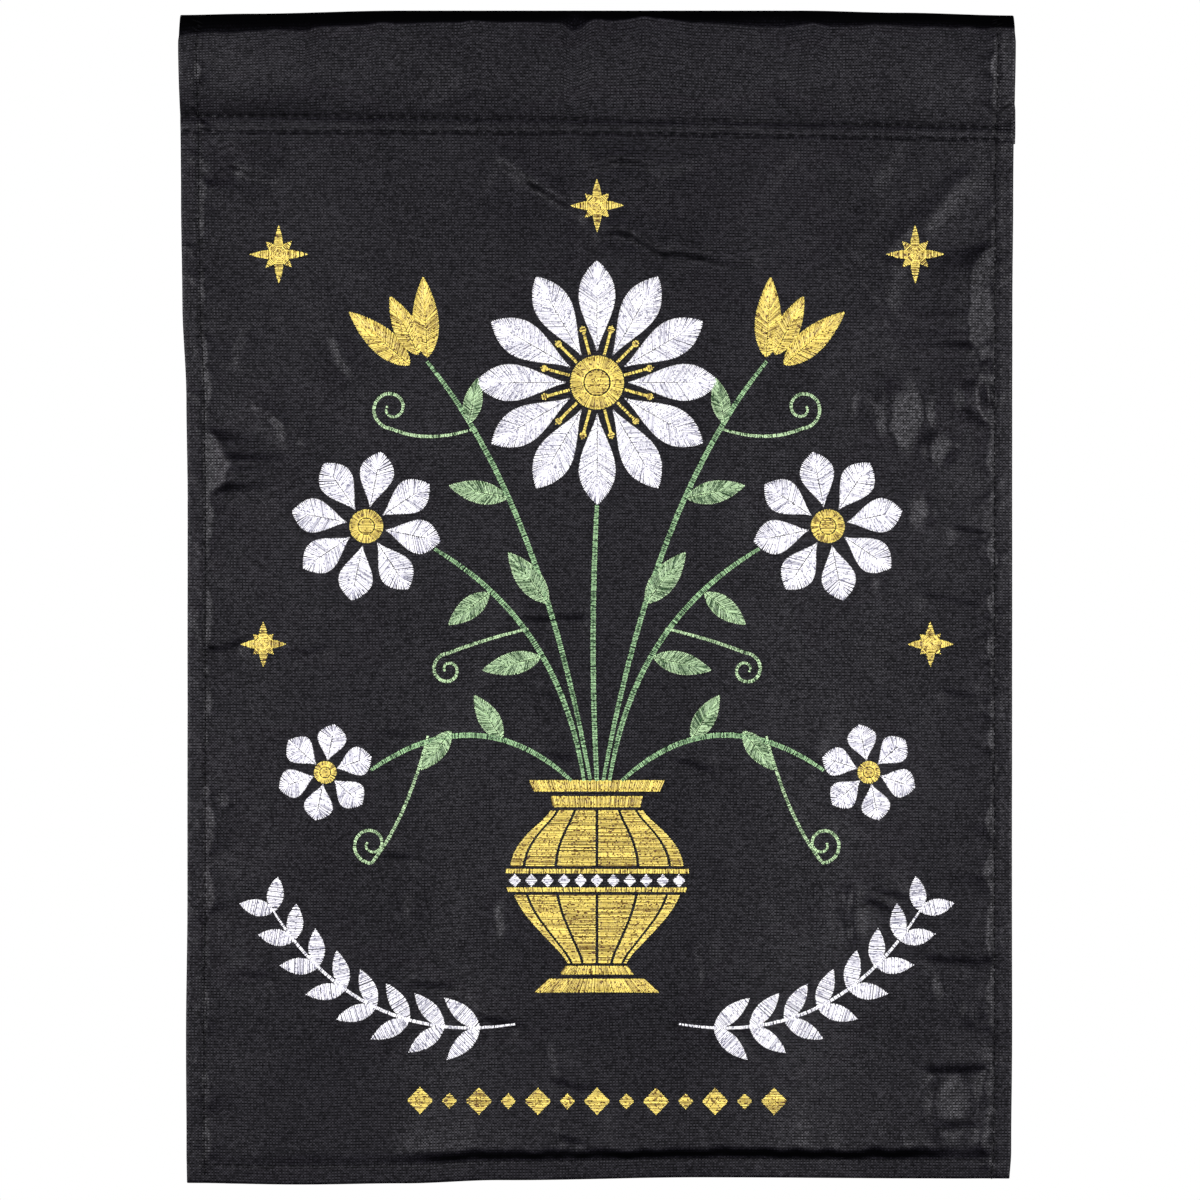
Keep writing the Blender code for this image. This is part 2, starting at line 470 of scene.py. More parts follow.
class SoftNoise:
    """Smooth noise on a square lattice, the same on each run."""

    def __init__(self, seed: int, cells: int = 96) -> None:
        """Fill the lattice with numbers from -1 to 1."""
        self.cells = cells
        self.lattice = np.random.default_rng(seed).uniform(-1, 1, (cells, cells))

    def at(self, x: Array, z: Array) -> Array:
        """Return the noise at places measured in lattice cells.

        Args:
            x: Places in cells across.
            z: Places in cells down.

        Returns:
            The noise.
        """
        left, low = np.floor(x).astype(int), np.floor(z).astype(int)
        share_x, share_z = eased(x - left), eased(z - low)
        i, j, n = left % self.cells, low % self.cells, self.cells
        k, m = (i + 1) % n, (j + 1) % n
        lower = self.lattice[i, j] * (1 - share_x) + self.lattice[k, j] * share_x
        upper = self.lattice[i, m] * (1 - share_x) + self.lattice[k, m] * share_x
        return lower * (1 - share_z) + upper * share_z

    def line(self, place: Array, row: float) -> Array:
        """Return the noise at places along one row of the lattice."""
        return self.at(place, np.full(place.shape, row))


def in_metres(*rows: tuple[float, ...], plain: int = 0) -> tuple[tuple[float, ...], ...]:
    """Return a table of millimetres in metres, all but its last few plain columns."""
    lengths = len(rows[0]) - plain
    return tuple(tuple(n * MM for n in row[:lengths]) + row[lengths:] for row in rows)


# Side edges: drop below the top, then how far the left and the right edge are drawn in
SIDE_EDGES = in_metres(
    (0.0, 0.0, 0.0), (8, 0.7, 0.4), (13, 0.1, 0.0), (74, 0.7, 0.5), (113, 1.2, 0.8),
    (152, 2.8, 0.9), (190, 3.3, 0.9), (347, 3.2, 1.0), (400, 2.7, 0.9), (444, 2.9, 1.3),
    (458, 3.1, 2.1),
)
# Top edge: x, how far it lies below the flag's top
TOP_EDGE = in_metres(
    (-163, 1.7), (-135, 1.2), (-77, 0.0), (80, 0.0), (118, 0.8), (163, 1.9),
)
# Bottom edge: x, how far it lies above the flag's lowest point
BOTTOM_EDGE = in_metres(
    (-163, 0.7), (-115, 0.0), (-77, 0.3), (-38, 1.8), (40, 3.0), (118, 2.2), (163, 2.3),
)
# Depth of the channel inside the sleeve: x, depth
CHANNEL_DEPTH = in_metres(
    (-163, 10.0), (-60, 9.0), (20, 7.0), (163, 8.5),
)
# The sleeve's roll over the pole: x, height of its dark shoulder
SHOULDER = in_metres(
    (-163, 8.4), (-122, 7.4), (-80, 5.4), (-30, 5.0), (-15, 5.2), (-9, 8.8), (-1, 4.3), (20, 3.0),
    (44, 5.2), (66, 7.0), (100, 5.4), (163, 5.8),
)
# Seam rows: height in the middle, slope and bend across half the width
UPPER_SEAM, LOWER_SEAM = in_metres((-42.4, -2.35, -0.85), (-47.55, -1.65, -1.1))
# Long waves that grow towards the bottom: height, waves across, phase in turns
LONG_WAVES = in_metres((1.5, 1.6, 0.15), (0.35, 3.7, 0.60), plain=2)
# Creases: from x, z to x, z, half width, height of the ridge beside the crease
CREASES = in_metres(
    (-152, -63.5, -142, -61, 1.27, 0.53), (-142, -61, -125, -64.5, 1.53, 0.49),
    (-38, -60, -24, -69, 2.55, 0.73), (-24, -69, -5, -81, 1.87, 0.88),
    (-1, -61.5, 9, -57.8, 1.15, 0.60), (9, -57.8, 21, -61.5, 1.15, 0.60),
    (24, -63.5, 41, -59.5, 1.15, 0.42), (1, -86, 13, -87, 1.36, 0.73),
    (13, -87, 26, -94.5, 1.36, 0.77), (26, -94.5, 41, -97, 1.44, 0.73),
    (41, -97, 61, -99.5, 1.27, 0.49), (80, -53, 107, -71, 4.50, 0.42),
    (-3, -149, 8, -151.5, 1.27, 0.46), (-34, -237, -20, -237.5, 1.36, 0.63),
    (-20, -237, -4, -236, 1.36, 0.63), (-152, -248.5, -140, -245.5, 1.27, 0.60),
    (-140, -245.5, -130, -248.5, 1.27, 0.53), (-121, -250, -106, -248, 1.27, 0.39),
    (139, -200, 151, -203, 1.36, 0.60), (128, -227, 150, -231, 1.70, 0.46),
    (136, -265, 149, -267, 1.53, 0.42), (-84, -281.5, -74, -283, 1.19, 0.39),
    (-22, -288.5, -9, -292, 1.19, 0.53), (31, -291, 44, -297, 1.19, 0.53),
    (84, -293, 99, -294.5, 1.19, 0.49), (-21, -266, -10, -270, 1.19, 0.42),
    (-86, -328, -72, -328.5, 1.27, 0.49), (-2, -331, 13, -330.5, 1.27, 0.46),
    (-4, -343.5, 4, -348, 1.19, 0.56), (4, -348, 10, -343.5, 1.19, 0.46),
    (107, -346, 117, -354, 1.27, 0.73), (110, -342, 124, -345, 1.19, 0.53),
    (129, -369.5, 148, -371.5, 1.36, 0.60), (-140, -375, -126, -377, 1.36, 0.32),
    (-122, -367, -111, -368.5, 1.19, 0.49), (-73, -380, -58, -380, 1.27, 0.42),
    (-50, -391, -31, -394.5, 1.36, 0.63), (83, -381, 94, -386, 1.19, 0.67),
    (50, -396.5, 63, -396.5, 1.27, 0.42), (129, -413, 151, -412, 1.44, 0.73),
    (-16, -417, 5, -421.5, 1.87, 0.60), (-16, -437, -7, -442, 1.53, 0.63),
    (98.4, -343, 98, -362, 1.15, 0.73), (-37, -348, -37.5, -360, 1.15, 0.46),
    (-74, -346, -73, -352, 1.15, 0.42), (39, -364, 40, -378, 1.15, 0.42),
    (-18, -405, -16, -413, 1.15, 0.49), (-104, -128, -97, -141, 1.15, 0.53),
    (-142, -136, -136, -127, 1.15, -0.42), (-133, -155, -114, -170, 1.19, 0.46),
    (86, -89, 98, -98, 1.15, 0.25), (98, -98, 117, -123, 1.15, 0.26),
)
# Folds: from x, z to x, z, half width, height towards the front (below zero is a trough)
FOLDS = in_metres(
    (114, -96, 143, -66, 4.6, 0.85), (112, -116, 117, -96, 5.0, 0.5),
    (-16, -440, -14, -455, 2.0, 0.6), (14, -449, 15, -455, 1.8, 0.4),
    (119, -442, 119, -449, 2.0, 0.4), (-134, -158, -116, -173, 4.0, 0.5),
)
# Flat places that turn aside: middle x, z, half width, half height, slope across
FACETS = in_metres(
    (121, -158, 10, 14, 0.25), (117, -147, 3.5, 7, 0.10), (134, -171, 6.0, 6, 0.26),
    (106, -154, 5.0, 6, -0.20), (124, -195, 8.0, 6, 0.20), (148, -151, 7.0, 7, 0.28),
    (109, -223, 3.0, 4, 0.16), (140, -428, 10, 14, 0.24), (97.5, -352, 2.3, 9, 0.32),
    (-37, -352, 1.8, 5, 0.26), (-74, -348, 1.8, 3, 0.22), (39, -368, 1.8, 8, 0.16),
    (133, -381, 3.6, 6, 0.22), (148, -391, 5.5, 5, 0.24), (-119, -163, 3.4, 7, 0.17),
    (-100, -134, 2.0, 5, 0.20), (-140.5, -133, 1.8, 4, -0.20), (-147, -308, 5.0, 3, -0.22),
    (-18, -410, 1.8, 4, 0.22), (-92, -205, 7.0, 5, 0.07), (60, -40, 16, 9, 0.05),
    (-60, -28, 14, 8, -0.05),
    plain=1,
)
# Puffs beside the stitching of each side hem: from z, to z, width, slope
PUFFS = {
    -1: in_metres(
        (-20, -28, 2.0, 0.20), (-64, -75, 3.4, 0.30), (-77, -89, 2.6, 0.26),
        (-104, -116, 2.0, 0.20), (-138, -155, 3.4, 0.26), (-163, -189, 8.5, 0.27),
        (-189, -208, 3.6, 0.24), (-222, -247, 3.0, 0.18), (-262, -276, 2.4, 0.20),
        (-304, -329, 4.0, 0.27), (-336, -352, 3.4, 0.26), (-380, -394, 2.4, 0.22),
        (-413, -429, 3.0, 0.26), (-431, -449, 3.0, 0.24),
        plain=1,
    ),
    1: in_metres(
        (-16, -28, 2.8, 0.28), (-29, -39, 2.8, 0.28), (-90, -142, 11.0, 0.30),
        (-136, -162, 8.0, 0.28), (-164, -182, 3.0, 0.22), (-203, -216, 3.0, 0.26),
        (-225, -238, 3.2, 0.28), (-242, -256, 3.2, 0.28), (-267, -277, 2.8, 0.24),
        (-279, -290, 3.2, 0.28), (-308, -323, 3.6, 0.30), (-327, -344, 3.8, 0.30),
        (-347, -371, 3.6, 0.28), (-374, -398, 4.0, 0.30), (-412, -449, 6.5, 0.30),
        plain=1,
    ),
}
# Swell above the bottom hem: x, height
BOTTOM_SWELL = in_metres(
    (-163, 0.2), (-84, 0.5), (-54, 2.4), (20, 2.8), (60, 3.1), (116, 3.0), (142, 0.8), (156, 0.4),
)
# Length from one needle hole to the next
SEWING_PITCH = 4.2 * MM
# Step of the map that says where embroidery stiffens the cloth
CALM_STEP = 1 * MM


@dataclass
class ClothForm:
    """Where the cloth's front lies, at any x and z of the hanging flag."""

    width: float
    height: float
    thickness: float = 0.35 * MM
    side_hem: float = 6.8 * MM
    bottom_hem: float = 7.2 * MM
    band_margin: float = 1.0 * MM
    channel_fullness: float = 2.2
    roll_ease: float = 0.8 * MM
    roll_uneven: float = 0.9 * MM
    # how much of the crumpling the embroidery takes away
    stiffness: float = 0.93
    # how far the lines of the tables stray, and on what length
    fold_stray: tuple[float, float] = (2.2 * MM, 14 * MM)
    crease_stray: tuple[float, float] = (1.3 * MM, 8 * MM)
    facet_stray: tuple[float, float] = (1.6 * MM, 6 * MM)
    # dips along the upper, the lower and the bottom row of stitches, and along the side rows
    row_dips: tuple[float, ...] = (0.15 * MM, 0.17 * MM, 0.12 * MM)
    row_dip_width: float = 0.65 * MM
    side_dip: float = 0.07 * MM
    seam_puff: float = 0.22 * MM
    swell_width: float = 4.4 * MM
    swell_ragged: float = 1.3 * MM
    # gathers beside the side hems: length and slope
    pucker: float = 2.7 * MM
    pucker_slope: float = 0.30
    # distance over which the slope of the front is measured
    slope_step: float = 0.8 * MM
    broad: SoftNoise = field(default_factory=lambda: SoftNoise(11))
    fine: SoftNoise = field(default_factory=lambda: SoftNoise(23))
    ripple: SoftNoise = field(default_factory=lambda: SoftNoise(37))
    calm: Array | None = None

    def edge(self, z: Array, side: int) -> Array:
        """Return x of the left (-1) or right (+1) edge at a height."""
        drawn_in = along_table(SIDE_EDGES, -z, 1 if side < 0 else 2)
        return side * (self.width / 2 - drawn_in)

    def top(self, x: Array) -> Array:
        """Return the height of the top edge."""
        return -along_table(TOP_EDGE, x)

    def bottom(self, x: Array) -> Array:
        """Return the height of the bottom edge."""
        return -self.height + along_table(BOTTOM_EDGE, x)

    def seam(self, row: tuple[float, float, float], x: Array) -> Array:
        """Return the height of one of the sleeve's seam rows."""
        across = 2 * x / self.width
        return row[0] + row[1] * across + row[2] * across * across

    def band_bottom(self, x: Array) -> Array:
        """Return the height at which the sleeve's sheet meets the panel's."""
        return self.seam(LOWER_SEAM, x) - self.band_margin

    def hem_stitch(self, z: Array, side: int) -> Array:
        """Return x of the stitching of a side hem."""
        return self.edge(z, side) - side * self.side_hem

    def hem_reach(self, x: Array, z: Array) -> Array:
        """Return how far x lies inside the nearer side row of stitches."""
        return np.minimum(x - self.hem_stitch(z, -1), self.hem_stitch(z, 1) - x)

    def settle(self, columns: Sequence["SatinColumn"]) -> None:
        """Note where embroidery stiffens the cloth, so that creases stop there.

        Args:
            columns: Every satin column of the front.
        """
        size = (int(self.width / CALM_STEP) + 3, int(self.height / CALM_STEP) + 3)
        grid = np.zeros(size)
        across = np.linspace(-0.1, 1.1, 16)[:, None, None]
        for column in columns:
            spots = column.left + (column.right - column.left) * across
            i = np.clip((spots[..., 0] + self.width / 2) / CALM_STEP, 0, size[0] - 1)
            j = np.clip(-spots[..., 1] / CALM_STEP, 0, size[1] - 1)
            grid[i.astype(int), j.astype(int)] = 1.0
        kernel = np.hanning(9)[1:-1]
        for axis in (0, 1):
            grid = np.apply_along_axis(np.convolve, axis, grid, kernel / kernel.sum(), "same")
        self.calm = np.clip(grid * 1.5, 0.0, 1.0)

    def liveliness(self, x: Array, z: Array) -> Array:
        """Return 1 on free cloth and near 0 where embroidery stiffens it.

        Args:
            x: Places across.
            z: Heights.

        Returns:
            The share.
        """
        if self.calm is None:
            return np.ones(x.shape)
        u = np.clip((x + self.width / 2) / CALM_STEP - 0.5, 0, self.calm.shape[0] - 1.001)
        v = np.clip(-z / CALM_STEP - 0.5, 0, self.calm.shape[1] - 1.001)
        i, j = u.astype(int), v.astype(int)
        a, b = u - i, v - j
        low = self.calm[i, j] * (1 - a) + self.calm[i + 1, j] * a
        high = self.calm[i, j + 1] * (1 - a) + self.calm[i + 1, j + 1] * a
        return 1 - self.stiffness * (low * (1 - b) + high * b)

    def bottom_stitch(self, x: Array) -> Array:
        """Return the height of the stitching of the bottom hem."""
        return self.bottom(x) + self.bottom_hem

    def channel(self, x: Array) -> Array:
        """Return the outer radius of the sleeve's roll at x."""
        return along_table(CHANNEL_DEPTH, x) / 2 + self.roll_ease

    def roll_centre(self, x: Array) -> Array:
        """Return the height at which the sleeve starts to turn over the pole."""
        return self.top(x) - self.shoulder(x)

    def shoulder(self, x: Array) -> Array:
        """Return the height of the sleeve's turn over the pole."""
        uneven = self.ripple.line(x / (6 * MM), 55.5)
        return along_table(SHOULDER, x) + self.roll_uneven * uneven

    def bulge(self, x: Array, z: Array) -> Array:
        """Return how far the sleeve's front layer stands forward of its seam.

        Args:
            x: Places across.
            z: Heights.

        Returns:
            The distance, 0 at the seam and below it.
        """
        seam = self.seam(UPPER_SEAM, x)
        share = np.clip((z - seam) / (self.roll_centre(x) - seam), 0.0, 1.0)
        return self.channel(x) * (1 - (1 - share) ** self.channel_fullness)

    def waves(self, x: Array, z: Array) -> Array:
        """Return the long hanging waves.

        Args:
            x: Places across.
            z: Heights.

        Returns:
            The rise towards the front.
        """
        start = self.band_bottom(x)
        fall = eased((start - z) / (self.height + start))
        total = np.zeros(x.shape)
        for height, waves, phase in LONG_WAVES:
            total += height * fall * np.sin(2 * math.pi * (waves * x / self.width + phase))
        return total

    def folds(self, x: Array, z: Array) -> Array:
        """Return the soft ridges and troughs of the fold table.

        Args:
            x: Places across.
            z: Heights.

        Returns:
            The rise towards the front.
        """
        total = np.zeros(x.shape)
        stray, length = self.fold_stray
        wander_x = stray * self.ripple.at(x / length, z / length)
        wander_z = stray * self.ripple.at(x / length + 40, z / length)
        for from_x, from_z, to_x, to_z, half_width, height in FOLDS:
            run_x, run_z = to_x - from_x, to_z - from_z
            off_x, off_z = x + wander_x - from_x, z + wander_z - from_z
            share = (off_x * run_x + off_z * run_z) / (run_x ** 2 + run_z ** 2)
            share = np.clip(share, 0.0, 1.0)
            away = np.hypot(off_x - share * run_x, off_z - share * run_z)
            total += height * np.exp(-((away / half_width) ** 2))
        return total

    def creases(self, x: Array, z: Array) -> Array:
        """Return the creases: the cloth steps forward along each line and settles back slowly.

        Args:
            x: Places across.
            z: Heights.

        Returns:
            The rise towards the front.
        """
        total = np.zeros(x.shape)
        stray, pitch = self.crease_stray
        x = x + stray * self.ripple.at(x / pitch + 11, z / pitch)
        z = z + stray * self.ripple.at(x / pitch, z / pitch + 17)
        for from_x, from_z, to_x, to_z, half_width, height in CREASES:
            length = math.hypot(to_x - from_x, to_z - from_z)
            run_x, run_z = (to_x - from_x) / length, (to_z - from_z) / length
            along = (x - from_x) * run_x + (z - from_z) * run_z
            away = ((z - from_z) * run_x - (x - from_x) * run_z) / half_width
            past = np.maximum(np.abs(along - length / 2) - length / 2 + 2 * MM, 0.0) / (3 * MM)
            near = (np.abs(away) < 11.0) & (past < 3.0)
            away, past = away[near], past[near]
            fade = np.exp(-((away / 5) ** 2) - past * past)
            total[near] += height * np.tanh(1.6 * away) * fade
        return total

    def facets(self, x: Array, z: Array) -> Array:
        """Return the flat places of the crumpled cloth, each with an abrupt edge.

        Args:
            x: Places across.
            z: Heights.

        Returns:
            The rise towards the front.
        """
        total = np.zeros(x.shape)
        stray, length = self.facet_stray
        x = x + stray * self.ripple.at(x / length + 31, z / length)
        for middle_x, middle_z, half_width, half_height, slope in FACETS:
            away = np.hypot((x - middle_x) / half_width, (z - middle_z) / half_height)
            near = away < 2.0
            total[near] -= slope * (x[near] - middle_x) * np.exp(-(away[near] ** 6))
        return total

    def puffs(self, x: Array, z: Array) -> Array:
        """Return the rise of the cloth just inside the stitching of the side hems.

        Args:
            x: Places across.
            z: Heights.

        Returns:
            The rise towards the front.
        """
        total = np.zeros(x.shape)
        for side in (-1, 1):
            inside = side * (self.hem_stitch(z, side) - x)
            for start, end, width, slope in PUFFS[side]:
                near = (z < start) & (z > end) & (inside > 0) & (inside < 8 * width)
                if not near.any():
                    continue
                share = (start - z[near]) / (start - end)
                ragged = 1 + 0.35 * self.ripple.line(z[near] / (4 * MM), 3.5)
                size = np.sin(math.pi * share) ** 0.6 * width * ragged
                total[near] += slope * size * self.flank(inside[near], size)
        return total

    @staticmethod
    def flank(inside: Array, width: Array) -> Array:
        """Return an even rise from a stitch line that ends in a slow fall."""
        reach = inside / np.maximum(width, 0.2 * MM)
        return np.minimum(reach, np.exp((1 - reach) / 1.3))

    def bottom_swell(self, x: Array, z: Array) -> Array:
        """Return the swell of the cloth above the stitching of the bottom hem.

        Args:
            x: Places across.
            z: Heights.

        Returns:
            The rise towards the front.
        """
        above = z - self.bottom_stitch(x)
        size = along_table(BOTTOM_SWELL, x)
        uneven = 1 + 0.22 * self.fine.line(x / (12 * MM), 2.5)
        ragged = self.swell_ragged * self.fine.line(x / (6 * MM), 12.5)
        reach = np.maximum(above + ragged, 0.0) / self.swell_width
        return size * uneven * np.minimum(reach, np.exp((1 - reach) / 4))

    def seam_pinch(self, x: Array, z: Array) -> Array:
        """Return the dip along each row of stitches, with a dimple at each needle hole.

        Args:
            x: Places across.
            z: Heights.

        Returns:
            The rise towards the front.
        """
        total = np.zeros(x.shape)
        upper, lower = self.seam(UPPER_SEAM, x), self.seam(LOWER_SEAM, x)
        for height, depth in zip((upper, lower, self.bottom_stitch(x)), self.row_dips):
            away = z - height
            dimple = 1 + 0.9 * np.cos(2 * math.pi * x / SEWING_PITCH)
            uneven = 1 + 0.5 * self.fine.line(x / (6 * MM), 4.5 + depth / MM)
            total -= depth * dimple * uneven * np.exp(-((away / self.row_dip_width) ** 2))
        for side in (-1, 1):
            away = x - self.hem_stitch(z, side)
            dimple = 1 + 0.5 * np.cos(2 * math.pi * z / SEWING_PITCH)
            total -= self.side_dip * dimple * np.exp(-((away / (1.0 * MM)) ** 2))
        share = np.clip((upper - z) / (upper - lower), 0.0, 1.0)
        puff = self.seam_puff * (1 + self.fine.line(x / (7 * MM), 8.5))
        return total + puff * np.sin(math.pi * share)

    def puckers(self, x: Array, z: Array) -> Array:
        """Return the small gathers that the sewing draws up on both sides of a side hem.

        Args:
            x: Places across.
            z: Heights.

        Returns:
            The rise towards the front.
        """
        total = np.zeros(x.shape)
        for side in (-1, 1):
            inside = side * (self.hem_stitch(z, side) - x)
            lean = (z + 0.5 * inside) / self.pucker
            flap = np.where(inside < 0, 40.0, 0.0)
            rise = self.ripple.line(lean + flap, 21.5 + 7 * side)
            size = np.clip(rise + 0.18, 0.0, 1.0) * 2.5 * MM
            total += self.pucker_slope * size * self.flank(np.abs(inside), size) * (size > 0.2 * MM)
        return total

    def wrinkles(self, x: Array, z: Array, alive: Array) -> Array:
        """Return the small unevenness of the whole cloth, less where it is stiff.

        Args:
            x: Places across.
            z: Heights.
            alive: 1 on free cloth, near 0 on stiff cloth.

        Returns:
            The rise towards the front.
        """
        total = 0.55 * MM * self.broad.at(x / (42 * MM), z / (46 * MM))
        total += 0.22 * MM * alive * self.fine.at(x / (17 * MM), z / (15 * MM) + 30)
        total += 0.05 * MM * alive * self.ripple.at(x / (5.5 * MM), z / (4.5 * MM) + 60)
        return total

    def crumple(self, x: Array, z: Array) -> Array:
        """Return the folds, facets and creases together."""
        return self.folds(x, z) + self.facets(x, z) + self.creases(x, z)

    def relief(self, x: Array, z: Array) -> Array:
        """Return how far the front stands forward of the flag's plane.

        Args:
            x: Places across the flag.
            z: Heights.

        Returns:
            The distance towards the front, in metres.
        """
        x, z = np.broadcast_arrays(np.asarray(x, float), np.asarray(z, float))
        inner = eased((z - self.bottom_stitch(x)) / (3 * MM))
        for side in (-1, 1):
            inner = inner * eased(side * (self.hem_stitch(z, side) - x) / (3 * MM) + 0.3)
        alive = self.liveliness(x, z)
        relief = self.waves(x, z) + self.crumple(x, z) * inner * alive
        relief += self.puffs(x, z) * eased((z - self.bottom_stitch(x)) / (5 * MM))
        relief += self.bottom_swell(x, z) * inner + self.wrinkles(x, z, alive)
        return relief + self.seam_pinch(x, z) + self.puckers(x, z)

    def front(self, x: Array, z: Array) -> Array:
        """Return y of the cloth's front face, on the panel and on the sleeve."""
        x, z = np.broadcast_arrays(np.asarray(x, float), np.asarray(z, float))
        return -self.relief(x, z) - self.bulge(x, z) - self.thickness / 2

    def facing(self, x: Array, z: Array) -> Array:
        """Return unit vectors that point straight out of the front face.

        Args:
            x: Places across.
            z: Heights.

        Returns:
            The vectors, one for each place.
        """
        step = self.slope_step
        slope_x = (self.front(x + step, z) - self.front(x - step, z)) / (2 * step)
        slope_z = (self.front(x, z + step) - self.front(x, z - step)) / (2 * step)
        out = np.stack([slope_x, -np.ones_like(slope_x), slope_z], axis=-1)
        return out / np.linalg.norm(out, axis=-1, keepdims=True)


def graded(start: float, end: float, fine: float, coarse: float, margins: tuple[float, float]) -> Array:
    """Return places between two ends, close together within a margin of each end.

    Args:
        start: The first place.
        end: The last place.
        fine: The step at the ends.
        coarse: The step in the middle.
        margins: How far from the start and from the end the steps are still widening.

    Returns:
        The places, both ends among them.
    """
    spot = np.linspace(start, end, 4000)
    rise = eased((spot - start) / margins[0]) * eased((end - spot) / margins[1])
    density = 1.0 / (fine + (coarse - fine) * rise)
    reach = np.concatenate([[0.0], np.cumsum((density[1:] + density[:-1]) / 2 * np.diff(spot))])
    count = int(round(reach[-1])) + 1
    return np.interp(np.linspace(0.0, reach[-1], count), reach, spot)


@dataclass
class TurnedEdge:
    """The section of a hem: where the cloth runs from its flap round the edge to the front."""

    hem: float
    layer: float = 0.75 * MM
    flap_extra: float = 0.9 * MM

    def section(self) -> tuple[Array, Array, Array]:
        """Work out the section, from the flap round the edge to the front.

        Returns:
            Inset from the edge, depth behind the front, and share of the full depth.
        """
        radius = self.layer / 2
        flap = np.array([1.0, 0.86, 0.6, 0.35, 0.14]) * (self.hem + self.flap_extra)
        angles = np.radians([60, 32, 4, -28, -60])
        bend_inset = radius - radius * np.cos(angles)
        bend_depth = radius + radius * np.sin(angles)
        front = np.array([0.4, 1.4, 2.6, 4.0, 5.2, 6.0]) * MM
        inset = np.concatenate([flap, bend_inset, front])
        depth = np.concatenate([np.full(flap.shape, self.layer), bend_depth, front * 0])
        share = np.clip(depth / self.layer, 0.0, 1.0)
        return inset, depth, share


def sheet_object(
    name: str, points: Array, flat_x: Array, flat_z: Array, form: ClothForm
) -> Piece:
    """Make a closed sheet of cloth: a fine face, a coarser back and the cut edge between.

    Args:
        name: The object's name.
        points: Grid of points in mid cloth, rows down, columns right, odd numbers of both.
        flat_x: Where each column lies on the flat cloth.
        flat_z: Where each row lies on it.
        form: The cloth's form.

    Returns:
        The object.
    """
    out = np.cross(np.gradient(points, axis=0), np.gradient(points, axis=1))
    out *= form.thickness / 2 / np.linalg.norm(out, axis=-1, keepdims=True)
    rows, columns = points.shape[:2]
    face = np.arange(rows * columns).reshape(rows, columns)
    back = face.size + np.arange(face[::2, ::2].size).reshape(face[::2, ::2].shape)
    places = np.concatenate([(points + out).reshape(-1, 3), (points - out)[::2, ::2].reshape(-1, 3)])
    faces = grid_faces(face) + [corners[::-1] for corners in grid_faces(back)]
    rims = (
        (face[0], back[0]),
        (face[-1, ::-1], back[-1, ::-1]),
        (face[::-1, 0], back[::-1, 0]),
        (face[:, -1], back[:, -1]),
    )
    for fine, coarse in rims:
        faces += rim_faces(fine.tolist(), coarse.tolist())
    mesh = bpy.data.meshes.new(name)
    mesh.from_pydata(places.tolist(), [], faces)
    layer = mesh.uv_layers.new(name=CLOTH_UV)
    flat = np.stack(np.meshgrid(flat_x, flat_z), axis=-1)
    spots = np.concatenate([flat.reshape(-1, 2), flat[::2, ::2].reshape(-1, 2)])
    corner_of = np.zeros(len(mesh.loops), dtype=np.int32)
    mesh.loops.foreach_get("vertex_index", corner_of)
    layer.data.foreach_set("uv", spots[corner_of].ravel())
    piece = new_object(name, mesh)
    piece.data.shade_smooth()
    piece.data.set_sharp_from_angle(angle=math.radians(55))
    # how far the cloth faces up or down, kept for the painted shade on the sleeve's roll
    upward = np.abs(out[..., 2]) * 2 / form.thickness
    lean = eased((upward - 0.16) / 0.46)
    for key, grid in ((UPTURN_SHADE, lean), (HEM, form.hem_reach(points[..., 0], points[..., 2]))):
        keep_values(mesh, key, np.concatenate([grid.ravel(), grid[::2, ::2].ravel()]))
    return piece


def keep_values(mesh: bpy.types.Mesh, name: str, values: Array) -> None:
    """Store a number or a vector for each point of a mesh.

    Args:
        mesh: The mesh.
        name: The attribute.
        values: One row for each point.
    """
    kind, key = ("FLOAT", "value") if values.ndim == 1 else ("FLOAT_VECTOR", "vector")
    attribute = mesh.attributes.new(name, kind, "POINT")
    attribute.data.foreach_set(key, values.astype(np.float32).ravel())


def grid_faces(index: Array) -> list[list[int]]:
    """Return the four-cornered faces of a grid of vertex numbers."""
    corners = (index[:-1, :-1], index[1:, :-1], index[1:, 1:], index[:-1, 1:])
    return np.stack([corner.ravel() for corner in corners], axis=1).tolist()


def rim_faces(fine: list[int], coarse: list[int]) -> list[list[int]]:
    """Return the faces between a rim and one with every second of its points.

    Args:
        fine: Vertex numbers of the rim.
        coarse: Those of the other rim.

    Returns:
        The faces.
    """
    faces = []
    for step in range(len(coarse) - 1):
        first, middle, last = fine[2 * step : 2 * step + 3]
        here, there = coarse[step : step + 2]
        faces += [[first, middle, here], [middle, there, here], [middle, last, there]]
    return faces


def odd(places: Array) -> Array:
    """Return places with one added halfway along the last step if their number is even.

    Args:
        places: Sorted places.

    Returns:
        The places, an odd number of them.
    """
    if len(places) % 2:
        return places
    return np.insert(places, -1, (places[-2] + places[-1]) / 2)


def bake_modifiers(piece: Piece) -> None:
    """Turn an object with modifiers into a plain mesh.

    Args:
        piece: The object.
    """
    graph = bpy.context.evaluated_depsgraph_get()
    mesh = bpy.data.meshes.new_from_object(piece.evaluated_get(graph))
    piece.modifiers.clear()
    piece.data = mesh
    mesh.name = piece.name


